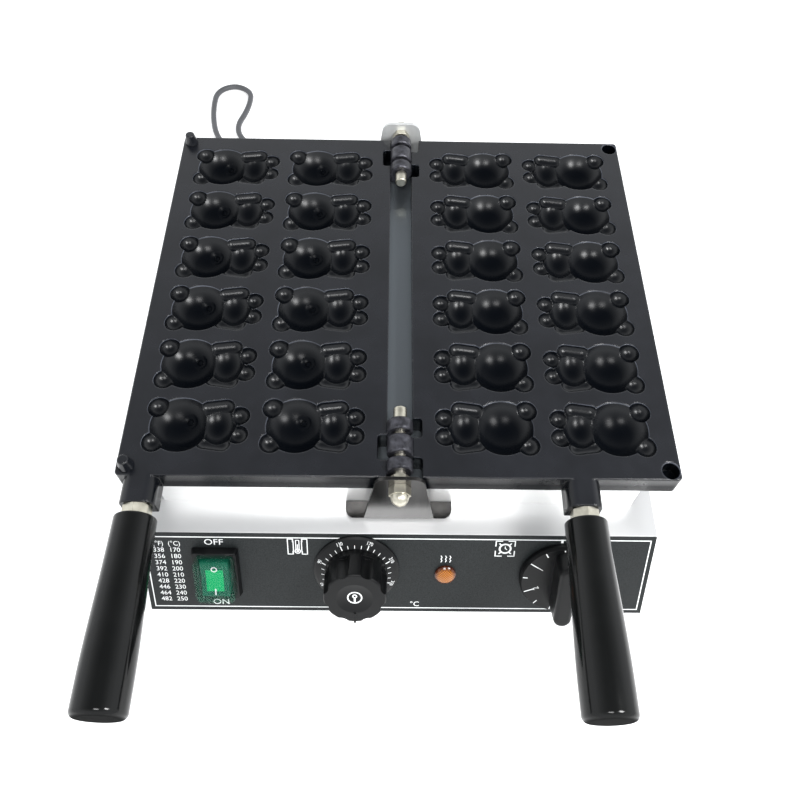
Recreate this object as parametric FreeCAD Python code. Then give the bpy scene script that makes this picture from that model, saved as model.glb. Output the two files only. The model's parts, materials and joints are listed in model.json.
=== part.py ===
import FreeCAD, Part
import math
import os

from FreeCAD import Placement, Rotation, Vector

# A table-top flip waffle iron: two hinged mould plates with teddy-bear cavities lie open on a
# heated deck, above a sheet-steel housing with a sloping control panel.
# Frame: +X right, +Y to the back, +Z up, origin on the table under the middle of the object.
# Millimetres and degrees.

# Mould plates
plate_width = 181.0
plate_depth = 327.0
plate_thick = 18.0
plate_corner = 3.0
plate_round = 1.0
hinge_gap = 18.0
closed_face_gap = 0.5
plate_seat_gap = 0.3

# Bear cavities: rim radius and depth of each hollow, and its place from the middle of the head
bear_rows = 6
bear_columns = 2
row_pitch = 50.4
column_pitch = 80.0
rows_shift = 1.2
head_inset = 38.3
head_rim = 21.5
head_depth = 13.2
ear_rim = 8.0
ear_depth = 6.6
ear_back = 16.8
ear_side = 13.6
torso_radius = 14.0
torso_half_width = 19.0
torso_lift = 3.7
torso_ahead = 25.6
arm_radius = 6.3
arm_half_length = 12.4
arm_splay = 8.0
arm_lift = 0.9
arm_ahead = 24.0
arm_side = 13.6
foot_rim = 7.4
foot_depth = 7.0
foot_ahead = 40.2
foot_side = 7.3
muzzle_radius = 10.2
muzzle_dip = 1.1
muzzle_ahead = 3.8
muzzle_side = 8.2

# Hinge knuckles, pins and nuts
knuckle_diameter = 18.0
knuckle_starts = (3.2, 16.0, 33.2)
knuckle_lengths = (9.0, 13.3, 9.3)
knuckle_chamfer = 1.0
notch_depth = 6.5
notch_clearance = 3.0
notch_corner = 2.5
pin_diameter = 8.0
pin_head_radius = 4.7
pin_head_length = 10.0
pin_head_gap = 0.5
pin_running_clearance = 0.08
pin_hole_clearance = 0.2
nut_flats = 13.0
lock_nut_thick = 5.0
nut_gap = 0.3
cap_nut_hex = 6.0
cap_nut_dome = 6.0
cap_nut_wall = 2.0

# Hinge brackets
bracket_sheet = 2.5
bracket_bend = 4.0
bracket_foot_width = 76.6
bracket_foot_corner = 8.0
bracket_base_width = 51.2
bracket_top_width = 31.0
bracket_top_rise = 12.4
bracket_top_corner = 9.0
bracket_deck_gap = 0.3

# Locating pins and holes at the outer corners
locator_inset = 7.0
locator_base_radius = 5.6
locator_tip_radius = 3.6
locator_height = 9.0
locator_clearance = 0.35
locator_floor = 1.5
locator_chamfer = 0.8
locator_shank_radius = 3.0
locator_shank = 8.0
locator_shank_clearance = 0.05

# Handles
left_boss_place = 173.0
right_boss_place = 123.0
boss_width = 23.5
boss_length = 19.0
boss_top_round = 7.0
stud_diameter = 10.0
stud_in_boss = 13.0
stud_in_grip = 62.0
thread_clearance = 0.1
handle_nut_flats = 17.0
handle_nut_thick = 8.0
grip_length = 123.5
grip_neck_radius = 14.0
grip_belly_radius = 16.6
grip_end_radius = 16.9
grip_belly_place = 84.0
grip_neck_round = 1.5
grip_end_round = 4.0

# Housing, cover and feet
foot_height = 14.0
foot_top_radius = 15.0
foot_bottom_radius = 12.5
foot_inset = 27.0
housing_width = 372.0
housing_height = 67.0
housing_back = 186.0
housing_front = 182.0
housing_sheet = 1.2
housing_bend = 2.5
panel_slope = 30.0
panel_lip = 3.0
flange_width = 14.0
cover_sheet = 1.2
cover_gap = 0.4
vent_length = 60.0
vent_width = 5.0
vent_pitch = 14.0
vent_count = 9
foot_screw_radius = 2.5
foot_screw_head_radius = 4.8
foot_screw_head = 3.2
foot_recess_radius = 7.0
foot_recess_depth = 6.0
foot_nut_flats = 8.0
foot_nut_thick = 4.0
cover_screw_radius = 2.0
cover_screw_head_radius = 3.8
cover_screw_head = 2.4
cover_screw_length = 8.0
screw_clearance = 0.2

# Raised deck with one window under each plate
deck_width = 343.0
deck_set_in = 6.0
deck_height = 37.0
deck_sheet = 1.2
deck_corner = 2.0
deck_rim = 14.0
deck_bridge_width = 46.0
window_corner = 6.0

# Heating inside the deck
insulation_thick = 10.0
tray_gap = 6.0
tray_sheet = 0.8
tray_height = 14.0
heater_diameter = 8.0
heater_lift = 14.5
heater_pitch = 32.0
heater_legs = 4
heater_middle = 92.0
heater_end_room = 42.5
heater_tail = 14.0
heater_bend = 12.0
heater_drop = 40.0
heater_hole_clearance = 1.0
bead_radius = 6.5
bead_length = 10.0
terminal_radius = 2.0
terminal_length = 9.0
support_thick = 2.0
support_margin = 8.0
support_pitch = 90.0
saddle_clearance = 0.3
bulb_diameter = 6.0
bulb_length = 110.0
capillary_diameter = 2.0
capillary_bend = 12.0
capillary_clearance = 1.5

# Control panel and its controls; places are across from the middle and down from the top edge
panel_sheet = 1.0
panel_margin = 0.4
hole_clearance = 0.3
dial_place = -30.3
dial_down = 32.2
dial_radius = 31.2
dial_thick = 5.0
dial_edge = 1.6
knob_gap = 0.6
knob_height = 31.0
knob_radius = 22.8
knob_collar = 5.0
knob_lobes = 8
knob_flute_radius = 7.0
knob_flute_bite = 2.8
knob_wall = 3.0
knob_hub_radius = 6.0
knob_dish_radius = 13.0
knob_dish_depth = 1.6
knob_round = 1.5
pointer_width = 1.6
pointer_rise = 1.0
shaft_radius = 3.0
shaft_running_clearance = 0.08
shaft_fit_clearance = 0.05
bush_radius = 5.0
bush_depth = 14.0
body_screw_radius = 2.0
body_screw_head_radius = 3.6
body_screw_head = 2.2
body_screw_grip = 6.0
body_screw_spacing = 25.0
thermostat_width = 46.0
thermostat_height = 40.0
thermostat_depth = 30.0
timer_inset = 66.5
timer_down = 36.5
timer_disc_radius = 30.0
timer_disc_thick = 5.5
timer_disc_edge = 1.2
timer_bar_length = 54.0
timer_bar_width = 13.0
timer_bar_height = 26.0
timer_bar_round = 3.0
timer_width = 52.0
timer_height = 40.0
timer_depth = 28.0
switch_inset = 53.6
switch_down = 35.5
switch_body_width = 26.0
switch_body_height = 36.0
switch_body_depth = 24.0
switch_wall = 1.6
bezel_width = 34.0
bezel_height = 45.0
bezel_rise = 5.5
bezel_draft = 1.2
bezel_corner = 2.5
boot_width = 29.0
boot_height = 39.0
boot_rise = 9.0
boot_wall = 1.2
boot_corner = 5.0
boot_round = 2.6
rocker_width = 20.0
rocker_length = 30.0
rocker_rise = 8.0
rocker_dip = 1.2
rocker_depth = 9.0
rocker_tilt = 6.0
rocker_pivot_height = 2.0
trunnion_radius = 2.0
trunnion_length = 2.2
lamp_place = 34.9
lamp_down = 36.0
lamp_lens_radius = 7.8
lamp_lens_rise = 5.0
lamp_lens_edge = 1.8
lamp_tube_radius = 5.6
lamp_tube_length = 24.0
lamp_nut_flats = 17.0
lamp_nut_thick = 3.5
terminal_block_length = 62.0
terminal_block_width = 22.0
terminal_block_height = 18.0
terminal_ways = 5
terminal_hole_radius = 3.0
terminal_inset = 60.0

# Mains cord, its strain relief, coil, tie and plug
cord_diameter = 6.0
gland_inset = 36.0
gland_height = 44.0
gland_flange_radius = 11.5
gland_flange = 4.0
gland_neck_radius = 8.0
gland_taper_radius = 7.2
gland_tip_radius = 4.4
gland_length = 30.0
gland_grooves = 5
gland_groove_depth = 0.9
gland_nut_flats = 22.0
gland_nut_thick = 5.0
coil_across = 65.0
coil_back = 28.0
coil_lead_in = 20.0
coil_outer_radius = 45.0
coil_turn_pitch = 6.7
coil_layer_pitch = 6.7
coil_turns_in = 3.0
coil_turns_out = 3.125
coil_start_angle = 90.0
tie_width = 8.0
tie_thick = 1.0
tie_clearance = 0.4
tie_angle = 190.0
plug_radius = 18.0
plug_front = 21.0
plug_tail = 26.0
plug_neck_radius = 5.2
plug_flat = 6.0
plug_pin_radius = 2.4
plug_pin_length = 19.0
plug_pin_spacing = 19.0
plug_lead = 30.0
plug_lie_clearance = 0.1

# Route of the cord on the table: across and back from the tip of its strain relief, and its height
cord_exit = 20.0
cord_steps = [
    Vector(-3.0, 40.0, 33.0),
    Vector(-11.0, 57.0, 16.0),
    Vector(-25.0, 71.0, 5.0),
    Vector(-43.0, 83.0, 3.2),
    Vector(-56.0, 100.0, 3.2),
    Vector(-63.0, 125.0, 3.2),
    Vector(-66.0, 152.0, 3.2),
    Vector(-65.0, 177.5, 3.2),
    Vector(-45.0, 189.0, 3.2),
    Vector(-25.0, 177.5, 3.2),
    Vector(-24.5, 158.0, 3.2),
    Vector(-28.0, 139.0, 3.2),
    Vector(-34.5, 120.0, 3.2),
    Vector(-31.4, 102.3, 3.2),
    Vector(-19.8, 88.5, 3.2),
    Vector(-2.9, 82.3, 3.6),
    Vector(22.0, 76.0, 4.4),
]

# Levels and places worked out from the sizes above
housing_bottom = foot_height
housing_top = housing_bottom + housing_height
deck_top = housing_top + deck_height
plate_bottom = deck_top + plate_seat_gap
plate_top = plate_bottom + plate_thick
hinge_height = plate_top + closed_face_gap / 2
plate_inner = hinge_gap / 2
plate_outer = plate_inner + plate_width
handle_reach = plate_depth / 2 + boss_length + handle_nut_thick + grip_length
plate_y = (handle_reach - housing_back) / 2
plate_front = plate_y - plate_depth / 2
plate_rear = plate_y + plate_depth / 2
slope = math.radians(panel_slope)
panel_length = (housing_height - panel_lip) / math.cos(slope)
back_wall = plate_y + housing_back
panel_top_y = plate_y - housing_front
panel_foot_y = panel_top_y - (housing_height - panel_lip) * math.tan(slope)
pin_radius = pin_diameter / 2
knuckle_radius = knuckle_diameter / 2
stud_radius = stud_diameter / 2
cord_radius = cord_diameter / 2
nut_back = nut_gap + lock_nut_thick
bracket_reach = nut_back + bracket_sheet
panel_face = panel_sheet
shell_back = -housing_sheet
deck_depth = plate_depth - 2 * deck_set_in
heater_reach = deck_depth / 2 - heater_end_room
switch_place = switch_inset - housing_width / 2
timer_place = housing_width / 2 - timer_inset
gland_place = gland_inset - housing_width / 2
gland_tip = Vector(gland_place, back_wall + gland_flange + gland_length, gland_height)
coil_centre = Vector(gland_place + coil_across, gland_tip.y + coil_back, cord_radius + tie_clearance + tie_thick)
coil_start = coil_centre + Vector(0, coil_outer_radius, 0)

parts = {}


# General shapes

def block(x0, x1, y0, y1, z0, z1):
    return Part.makeBox(x1 - x0, y1 - y0, z1 - z0, Vector(x0, y0, z0))


def rod(radius, start, end):
    along = end - start
    return Part.makeCylinder(radius, along.Length, start, along)


def prism(points, along):
    outline = Part.makePolygon(points + [points[0]])
    return Part.Face(outline).extrude(along)


def turned(profile):
    """A solid of revolution about local Z from (radius, height) points."""
    points = [Vector(radius, 0, height) for radius, height in profile]
    outline = Part.makePolygon(points + [points[0]])
    return Part.Face(outline).revolve(Vector(0, 0, 0), Vector(0, 0, 1), 360)


def hexagon(across_flats, thick):
    """A hexagonal prism about local Z with flats at the top and bottom of Y."""
    corner = across_flats / math.sqrt(3)
    points = [
        Vector(corner * math.cos(math.radians(60 * k)), corner * math.sin(math.radians(60 * k)), 0)
        for k in range(6)
    ]
    return prism(points, Vector(0, 0, thick))


def chamfered_nut(across_flats, thick, bore_radius):
    """A hex nut about local Z whose corners are turned off at both faces."""
    corner = across_flats / math.sqrt(3)
    flat = across_flats / 2
    bevel = (corner - flat) * 0.58
    turned_blank = turned([
        (0, 0), (flat, 0), (corner, bevel), (corner, thick - bevel), (flat, thick), (0, thick),
    ])
    bore = Part.makeCylinder(bore_radius, thick)
    return hexagon(across_flats, thick).common(turned_blank).cut(bore)


def rounded_slab(width, height, thick, corner):
    """A rounded rectangle about the local origin, rising along local Z."""
    slab = block(-width / 2, width / 2, -height / 2, height / 2, 0, thick)
    upright = [e for e in slab.Edges if abs(e.tangentAt(e.FirstParameter).z) > 0.9]
    return slab.makeFillet(corner, upright)


def round_edges(shape, radius, chosen):
    edges = [e for e in shape.Edges if chosen(e)]
    return shape.makeFillet(radius, edges)


def placed(shape, placement):
    moved = shape.copy()
    moved.Placement = placement.multiply(shape.Placement)
    return moved


def facing(shape, place, direction):
    """Turn local Z to the given direction and move the local origin to place."""
    return placed(shape, Placement(place, Rotation(Vector(0, 0, 1), direction)))


def mirrored(shape):
    return shape.mirror(Vector(0, 0, 0), Vector(1, 0, 0))


def on_panel(shape, across, down):
    """Place a shape whose local X runs across the panel, Y up its slope and Z out of it."""
    place = Vector(across, panel_top_y - down * math.sin(slope), housing_top - down * math.cos(slope))
    return placed(shape, Placement(place, Rotation(Vector(1, 0, 0), 90 - panel_slope)))


def solids_of(shapes):
    return Part.makeCompound(shapes)


# Tubes along straight runs and tangent arcs

def arc_through(start, corner, end):
    """The arc that leaves start towards corner and arrives at end, both equally far from corner."""
    chord_middle = (start + end) * 0.5
    leg = (corner - start).Length
    sine = min(1.0, (corner - chord_middle).Length / leg)
    half_turn = math.asin(sine)
    radius = leg / math.tan(half_turn)
    sagitta = radius * (1 / math.cos(half_turn) - 1)
    towards = (chord_middle - corner).normalize()
    return Part.Arc(start, corner + towards * sagitta, end).toShape(), radius


def bent_path(points, bend_radius=None):
    """Edges through points; each corner takes the given radius or the largest that its runs allow."""
    edges = []
    radii = []
    here = points[0]
    for before, corner, after in zip(points, points[1:], points[2:]):
        arriving = (corner - before).normalize()
        leaving = (after - corner).normalize()
        half_turn = arriving.getAngle(leaving) / 2
        shorter = min((corner - before).Length, (after - corner).Length)
        radius = bend_radius or 0.45 * shorter / math.tan(half_turn)
        setback = radius * math.tan(half_turn)
        start = corner - arriving * setback
        end = corner + leaving * setback
        edges.append(Part.LineSegment(here, start).toShape())
        arc, found = arc_through(start, corner, end)
        edges.append(arc)
        radii.append(found)
        here = end
    edges.append(Part.LineSegment(here, points[-1]).toShape())
    return Part.Wire(edges), radii


def tube(path, radius):
    first = path.OrderedEdges[0]
    start = first.valueAt(first.FirstParameter)
    along = first.tangentAt(first.FirstParameter)
    section = Part.Wire(Part.makeCircle(radius, start, along))
    return path.makePipeShell([section], True, False)


def tube_report(name, solid, path, radius):
    ideal = math.pi * radius ** 2 * path.Length
    print(name, "length", round(path.Length, 1), "volume over section times length",
          round(solid.Volume / ideal, 4))


# Mould plates, built on the right of the hinge with the heads outwards

def cap_hollow(rim, depth):
    """A ball whose lower cap has this rim radius and depth below local Z 0."""
    radius = (rim ** 2 + depth ** 2) / (2 * depth)
    return Part.makeSphere(radius, Vector(0, 0, radius - depth))


def spindle(half_length, radius):
    """A lemon along local Z: an arc of this rise and half length turned about its chord."""
    tips = [Vector(0, 0, -half_length), Vector(radius, 0, 0), Vector(0, 0, half_length)]
    arc = Part.Arc(*tips).toShape()
    chord = Part.LineSegment(tips[2], tips[0]).toShape()
    return Part.Face(Part.Wire([arc, chord])).revolve(Vector(0, 0, 0), Vector(0, 0, 1), 360)


def at(shape, ahead, side, lift=0.0):
    """Place a hollow by its distance from the head towards the feet, to one side and upwards."""
    moved = shape.copy()
    moved.translate(Vector(-ahead, side, lift))
    return moved


def muzzle_hollow():
    head_ball = (head_rim ** 2 + head_depth ** 2) / (2 * head_depth)
    head_centre = Vector(0, 0, head_ball - head_depth)
    flat = math.hypot(muzzle_ahead, muzzle_side)
    on_head = Vector(-muzzle_ahead, muzzle_side, head_centre.z - math.sqrt(head_ball ** 2 - flat ** 2))
    outward = (on_head - head_centre).normalize()
    centre = head_centre + outward * (head_ball - muzzle_radius + muzzle_dip)
    return Part.makeSphere(muzzle_radius, centre)


def capsule(half_length, radius):
    """A rod along local Z with round ends."""
    straight = half_length - radius
    lean = radius * math.sqrt(0.5)
    tips = [Vector(0, 0, -half_length), Vector(0, 0, half_length)]
    low = Part.Arc(tips[0], Vector(lean, 0, -straight - lean), Vector(radius, 0, -straight))
    side = Part.LineSegment(Vector(radius, 0, -straight), Vector(radius, 0, straight))
    high = Part.Arc(Vector(radius, 0, straight), Vector(lean, 0, straight + lean), tips[1])
    axis = Part.LineSegment(tips[1], tips[0])
    outline = Part.Wire([piece.toShape() for piece in (low, side, high, axis)])
    return Part.Face(outline).revolve(Vector(0, 0, 0), Vector(0, 0, 1), 360)


def bear_hollow(with_muzzle):
    head = cap_hollow(head_rim, head_depth)
    torso = spindle(torso_half_width, torso_radius)
    torso.rotate(Vector(0, 0, 0), Vector(1, 0, 0), 90)
    others = [at(torso, torso_ahead, 0, torso_lift)]
    for side in (-1, 1):
        arm = capsule(arm_half_length, arm_radius)
        arm.rotate(Vector(0, 0, 0), Vector(0, 1, 0), 90)
        arm.rotate(Vector(0, 0, 0), Vector(0, 0, 1), -side * arm_splay)
        others.append(at(cap_hollow(ear_rim, ear_depth), -ear_back, side * ear_side))
        others.append(at(arm, arm_ahead, side * arm_side, arm_lift))
        others.append(at(cap_hollow(foot_rim, foot_depth), foot_ahead, side * foot_side))
    if with_muzzle:
        others.append(muzzle_hollow())
    return head.fuse(others)


def bear_places():
    first_x = plate_outer - head_inset
    first_y = plate_y + rows_shift - row_pitch * (bear_rows - 1) / 2
    return [
        Vector(first_x - column * column_pitch, first_y + row * row_pitch, plate_top)
        for column in range(bear_columns)
        for row in range(bear_rows)
    ]


def knuckle_spans(index, spare=0.0):
    """The front and the rear stretch of Y that knuckle number index takes, from the outside in."""
    near = knuckle_starts[index] - spare
    far = knuckle_starts[index] + knuckle_lengths[index] + spare
    if spare and index == 0:
        near = -(notch_corner + 1.0)
    return [(plate_front + near, plate_front + far), (plate_rear - far, plate_rear - near)]


def knuckle(y0, y1):
    """A bored barrel on the hinge axis with the web that joins it to the plate's edge."""
    barrel = rod(knuckle_radius, Vector(0, y0, hinge_height), Vector(0, y1, hinge_height))
    ends = [e for e in barrel.Edges if e.Curve.TypeId == "Part::GeomCircle"]
    barrel = barrel.makeChamfer(knuckle_chamfer, ends)
    web = block(0, plate_inner, y0, y1, hinge_height - knuckle_radius, plate_top)
    bore = rod(pin_radius + pin_running_clearance, Vector(0, y0 - 1, hinge_height),
               Vector(0, y1 + 1, hinge_height))
    return barrel.fuse(web).cut(bore)


def notch(y0, y1):
    cut = block(-plate_inner, plate_inner + notch_depth, y0, y1, plate_bottom - 1, plate_top + 1)
    deep = plate_inner + notch_depth
    return round_edges(cut, notch_corner, lambda e: abs(e.CenterOfMass.x - deep) < 0.01
                       and abs(e.tangentAt(e.FirstParameter).z) > 0.9)


def handle_boss(place):
    """A lug for the handle on the plate's front edge, with a rounded back."""
    half = boss_width / 2
    end = plate_front - boss_length
    body = block(place - half, place + half, end, plate_front + plate_corner, plate_bottom, plate_top)
    body = round_edges(body, boss_top_round, lambda e: abs(e.CenterOfMass.z - plate_top) < 0.01
                       and abs(e.tangentAt(e.FirstParameter).y) > 0.9)
    return round_edges(body, plate_round, lambda e: abs(e.CenterOfMass.y - end) < 0.01)


def mould_plate(own_knuckles, boss_place, with_muzzle):
    """One plate with its hollows, and its hinge knuckles."""
    blank = block(plate_inner, plate_outer, plate_front, plate_rear, plate_bottom, plate_top)
    blank = round_edges(blank, plate_corner, lambda e: abs(e.CenterOfMass.x - plate_outer) < 0.01
                        and abs(e.tangentAt(e.FirstParameter).z) > 0.9)
    blank = round_edges(blank, plate_round, lambda e: abs(e.CenterOfMass.z - plate_top) < 0.01
                        and e.CenterOfMass.x > plate_inner + 0.01)
    bear = bear_hollow(with_muzzle)
    hollows = []
    for place in bear_places():
        one = bear.copy()
        one.translate(place)
        hollows.append(one)
    notches = []
    knuckles = []
    for index in range(3):
        if index in own_knuckles:
            knuckles += [knuckle(y0, y1) for y0, y1 in knuckle_spans(index)]
        else:
            notches += [notch(y0, y1) for y0, y1 in knuckle_spans(index, notch_clearance)]
    plate = blank.cut(hollows + notches).fuse(handle_boss(boss_place))
    stud_start = Vector(boss_place, plate_front - boss_length - 1, plate_bottom + plate_thick / 2)
    stud_end = stud_start + Vector(0, 1 + stud_in_boss, 0)
    return plate.cut(rod(stud_radius + thread_clearance, stud_start, stud_end)), knuckles


def locator_places():
    across = plate_outer - locator_inset
    reach = plate_depth / 2 - locator_inset
    return [Vector(across, plate_y - reach, plate_top), Vector(across, plate_y + reach, plate_top)]


def locating_pin(place):
    """A tapered pin on a shank that sits in the left plate."""
    peg = Part.makeCone(locator_base_radius, locator_tip_radius, locator_height)
    tip = [e for e in peg.Edges if abs(e.CenterOfMass.z - locator_height) < 0.01]
    peg = peg.makeFillet(plate_round, tip[:1])
    peg = peg.fuse(Part.makeCylinder(locator_shank_radius, locator_shank, Vector(0, 0, -locator_shank)))
    peg.translate(place)
    return peg


def locator_hole(place):
    """The hole that takes a locating pin, with a chamfered mouth that runs on above the plate."""
    radius = locator_base_radius + locator_clearance
    depth = locator_height + locator_floor
    above = 1.0
    wide = radius + locator_chamfer + above
    profile = Part.Face(Part.makePolygon([
        Vector(0, 0, -depth), Vector(radius, 0, -depth), Vector(radius, 0, -locator_chamfer),
        Vector(wide, 0, above), Vector(0, 0, above), Vector(0, 0, -depth)]))
    hole = profile.revolve(Vector(0, 0, 0), Vector(0, 0, 1), 360)
    hole.translate(place)
    return hole


def make_plates():
    left, left_knuckles = mould_plate((0, 2), left_boss_place, True)
    right, right_knuckles = mould_plate((1,), right_boss_place, False)
    pins = []
    for place in locator_places():
        pins.append(locating_pin(place))
        left = left.cut(Part.makeCylinder(locator_shank_radius + locator_shank_clearance, locator_shank + 0.5,
                                          place - Vector(0, 0, locator_shank + 0.5)))
        right = right.cut(locator_hole(place))
    parts["left_plate"] = mirrored(left.removeSplitter())
    parts["right_plate"] = right.removeSplitter()
    parts["left_hinge_knuckles"] = mirrored(solids_of(left_knuckles))
    parts["right_hinge_knuckles"] = solids_of(right_knuckles)
    parts["locating_pins"] = mirrored(solids_of(pins))


# Handles

def grip_profile():
    """Half section of the grip along local Z from the nut: neck, belly and rounded end."""
    neck = Vector(grip_neck_radius, 0, grip_neck_round)
    rise = Part.BSplineCurve()
    rise.interpolate(
        Points=[neck, Vector(grip_belly_radius, 0, grip_belly_place),
                Vector(grip_end_radius, 0, grip_length - grip_end_round)],
        Tangents=[Vector(0.01, 0, 1), Vector(0.03, 0, 1), Vector(0, 0, 1)],
        TangentFlags=[True, True, True])
    bulge = math.sqrt(0.5)
    neck_mid = Vector(grip_neck_radius - grip_neck_round * (1 - bulge), 0, grip_neck_round * (1 - bulge))
    end_mid = Vector(grip_end_radius - grip_end_round * (1 - bulge), 0,
                     grip_length - grip_end_round * (1 - bulge))
    start = Vector(grip_neck_radius - grip_neck_round, 0, 0)
    shoulder = Vector(grip_end_radius, 0, grip_length - grip_end_round)
    end = Vector(grip_end_radius - grip_end_round, 0, grip_length)
    edges = [
        Part.LineSegment(Vector(0, 0, 0), start).toShape(),
        Part.Arc(start, neck_mid, neck).toShape(),
        rise.toShape(),
        Part.Arc(shoulder, end_mid, end).toShape(),
        Part.LineSegment(end, Vector(0, 0, grip_length)).toShape(),
        Part.LineSegment(Vector(0, 0, grip_length), Vector(0, 0, 0)).toShape(),
    ]
    return Part.Face(Part.Wire(edges))


def make_handle(name, side, place):
    forwards = Vector(0, -1, 0)
    boss_end = Vector(side * place, plate_front - boss_length, plate_bottom + plate_thick / 2)
    grip_start = boss_end + forwards * handle_nut_thick
    stud_clear = stud_radius + thread_clearance
    parts[name + "_handle_stud"] = rod(stud_radius, boss_end - forwards * (stud_in_boss - 1),
                                       grip_start + forwards * stud_in_grip)
    nut = chamfered_nut(handle_nut_flats, handle_nut_thick, stud_clear)
    nut.rotate(Vector(0, 0, 0), Vector(0, 0, 1), 30)
    parts[name + "_handle_nut"] = facing(nut, boss_end, forwards)
    grip = grip_profile().revolve(Vector(0, 0, 0), Vector(0, 0, 1), 360)
    grip = grip.cut(Part.makeCylinder(stud_clear, stud_in_grip + 1))
    parts[name + "_handle_grip"] = facing(grip, grip_start, forwards)


# Hinge brackets, pins and nuts

def bracket():
    """The front bracket: a bent sheet foot on the housing with a tapered upright round the pin."""
    back = plate_front - nut_back
    front = plate_front - bracket_reach
    heel = plate_y - deck_depth / 2 - bracket_deck_gap
    half_foot = bracket_foot_width / 2
    top = hinge_height + bracket_top_rise
    inside = bracket_bend - bracket_sheet
    bulge = 1 - math.sqrt(0.5)
    base = housing_top
    rise = base + bracket_sheet
    points = [
        Vector(-half_foot, heel, base),
        Vector(-half_foot, front + bracket_bend, base),
        Vector(-half_foot, front, base + bracket_bend),
        Vector(-half_foot, front, top),
        Vector(-half_foot, back, top),
        Vector(-half_foot, back, rise + inside),
        Vector(-half_foot, back + inside, rise),
        Vector(-half_foot, heel, rise),
    ]
    outer_mid = Vector(-half_foot, front + bracket_bend * bulge, base + bracket_bend * bulge)
    inner_mid = Vector(-half_foot, back + inside * bulge, rise + inside * bulge)
    edges = []
    for k, (start, stop) in enumerate(zip(points, points[1:] + points[:1])):
        if k == 1:
            edges.append(Part.Arc(start, outer_mid, stop).toShape())
        elif k == 5:
            edges.append(Part.Arc(start, inner_mid, stop).toShape())
        else:
            edges.append(Part.LineSegment(start, stop).toShape())
    sheet = Part.Face(Part.Wire(edges)).extrude(Vector(bracket_foot_width, 0, 0))
    half_base = bracket_base_width / 2
    half_top = bracket_top_width / 2
    upright = prism([
        Vector(-half_base, front - 1, base),
        Vector(half_base, front - 1, base),
        Vector(half_top, front - 1, top),
        Vector(-half_top, front - 1, top),
    ], Vector(0, bracket_reach + deck_depth, 0))
    upright = round_edges(upright, bracket_top_corner, lambda e: abs(e.CenterOfMass.z - top) < 0.01
                          and abs(e.tangentAt(e.FirstParameter).y) > 0.9)
    foot = block(-half_foot, half_foot, front, heel, base - 1, rise)
    foot = round_edges(foot, bracket_foot_corner, lambda e: abs(e.CenterOfMass.y - front) < 0.01
                       and abs(e.tangentAt(e.FirstParameter).z) > 0.9)
    hole = rod(pin_radius + pin_hole_clearance, Vector(0, front - 1, hinge_height),
               Vector(0, back + 1, hinge_height))
    return sheet.common(upright.fuse(foot)).cut(hole)


def to_rear(shape):
    return shape.mirror(Vector(0, plate_y, 0), Vector(0, 1, 0))


def make_hinge():
    front_bracket = bracket()
    parts["front_hinge_bracket"] = front_bracket
    parts["rear_hinge_bracket"] = to_rear(front_bracket)
    stack = plate_front + knuckle_starts[2] + knuckle_lengths[2] + pin_head_gap
    tip = plate_front - bracket_reach - cap_nut_hex - cap_nut_dome / 2
    pin = rod(pin_radius, Vector(0, tip, hinge_height),
              Vector(0, stack + 1, hinge_height))
    ends = [e for e in pin.Edges if e.Curve.TypeId == "Part::GeomCircle"]
    pin = pin.makeChamfer(0.6, ends[-1:] if ends[-1].CenterOfMass.y < stack else ends[:1])
    head = rod(pin_head_radius, Vector(0, stack, hinge_height), Vector(0, stack + pin_head_length, hinge_height))
    pin = pin.fuse(round_edges(head, 1.2, lambda e: abs(e.CenterOfMass.y - stack - pin_head_length) < 0.01))
    parts["front_hinge_pin"] = pin
    parts["rear_hinge_pin"] = to_rear(pin)
    forwards = Vector(0, -1, 0)
    bore = pin_radius + thread_clearance
    nut_place = Vector(0, plate_front - nut_gap, hinge_height)
    lock_nut = facing(chamfered_nut(nut_flats, lock_nut_thick, bore), nut_place, forwards)
    parts["hinge_lock_nuts"] = solids_of([lock_nut, to_rear(lock_nut)])
    dome_radius = nut_flats / 2 - 0.4
    cap = hexagon(nut_flats, cap_nut_hex)
    crown = turned([(0, 0), (dome_radius, 0), (dome_radius, cap_nut_hex + 1), (0, cap_nut_hex + 1)])
    ball = Part.makeSphere(dome_radius, Vector(0, 0, cap_nut_hex + 1))
    cap = cap.fuse([crown, ball.common(Part.makeCylinder(dome_radius + 1, 2 * dome_radius + 1,
                                                         Vector(0, 0, cap_nut_hex)))])
    cap = cap.cut(Part.makeCylinder(bore, cap_nut_hex + cap_nut_dome / 2 + 0.5))
    cap = facing(cap, Vector(0, plate_front - bracket_reach, hinge_height), forwards)
    parts["hinge_cap_nuts"] = solids_of([cap, to_rear(cap)])


# Housing, cover, feet and deck

def housing_section(inset):
    """Side outline of the housing, drawn in by a sheet thickness on every face but the bottom."""
    lean = inset / math.cos(slope)
    knee = housing_bottom + panel_lip - inset * (1 / math.cos(slope) - 1) / math.tan(slope)
    top = housing_top - inset
    return [
        Vector(0, back_wall - inset, housing_bottom),
        Vector(0, back_wall - inset, top),
        Vector(0, panel_top_y - inset * math.tan(slope) + lean, top),
        Vector(0, panel_foot_y + inset, knee),
        Vector(0, panel_foot_y + inset, housing_bottom),
    ]


def housing_block(inset):
    half = housing_width / 2 - inset
    solid = prism(housing_section(inset), Vector(2 * half, 0, 0))
    solid.translate(Vector(-half, 0, 0))
    return solid


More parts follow.
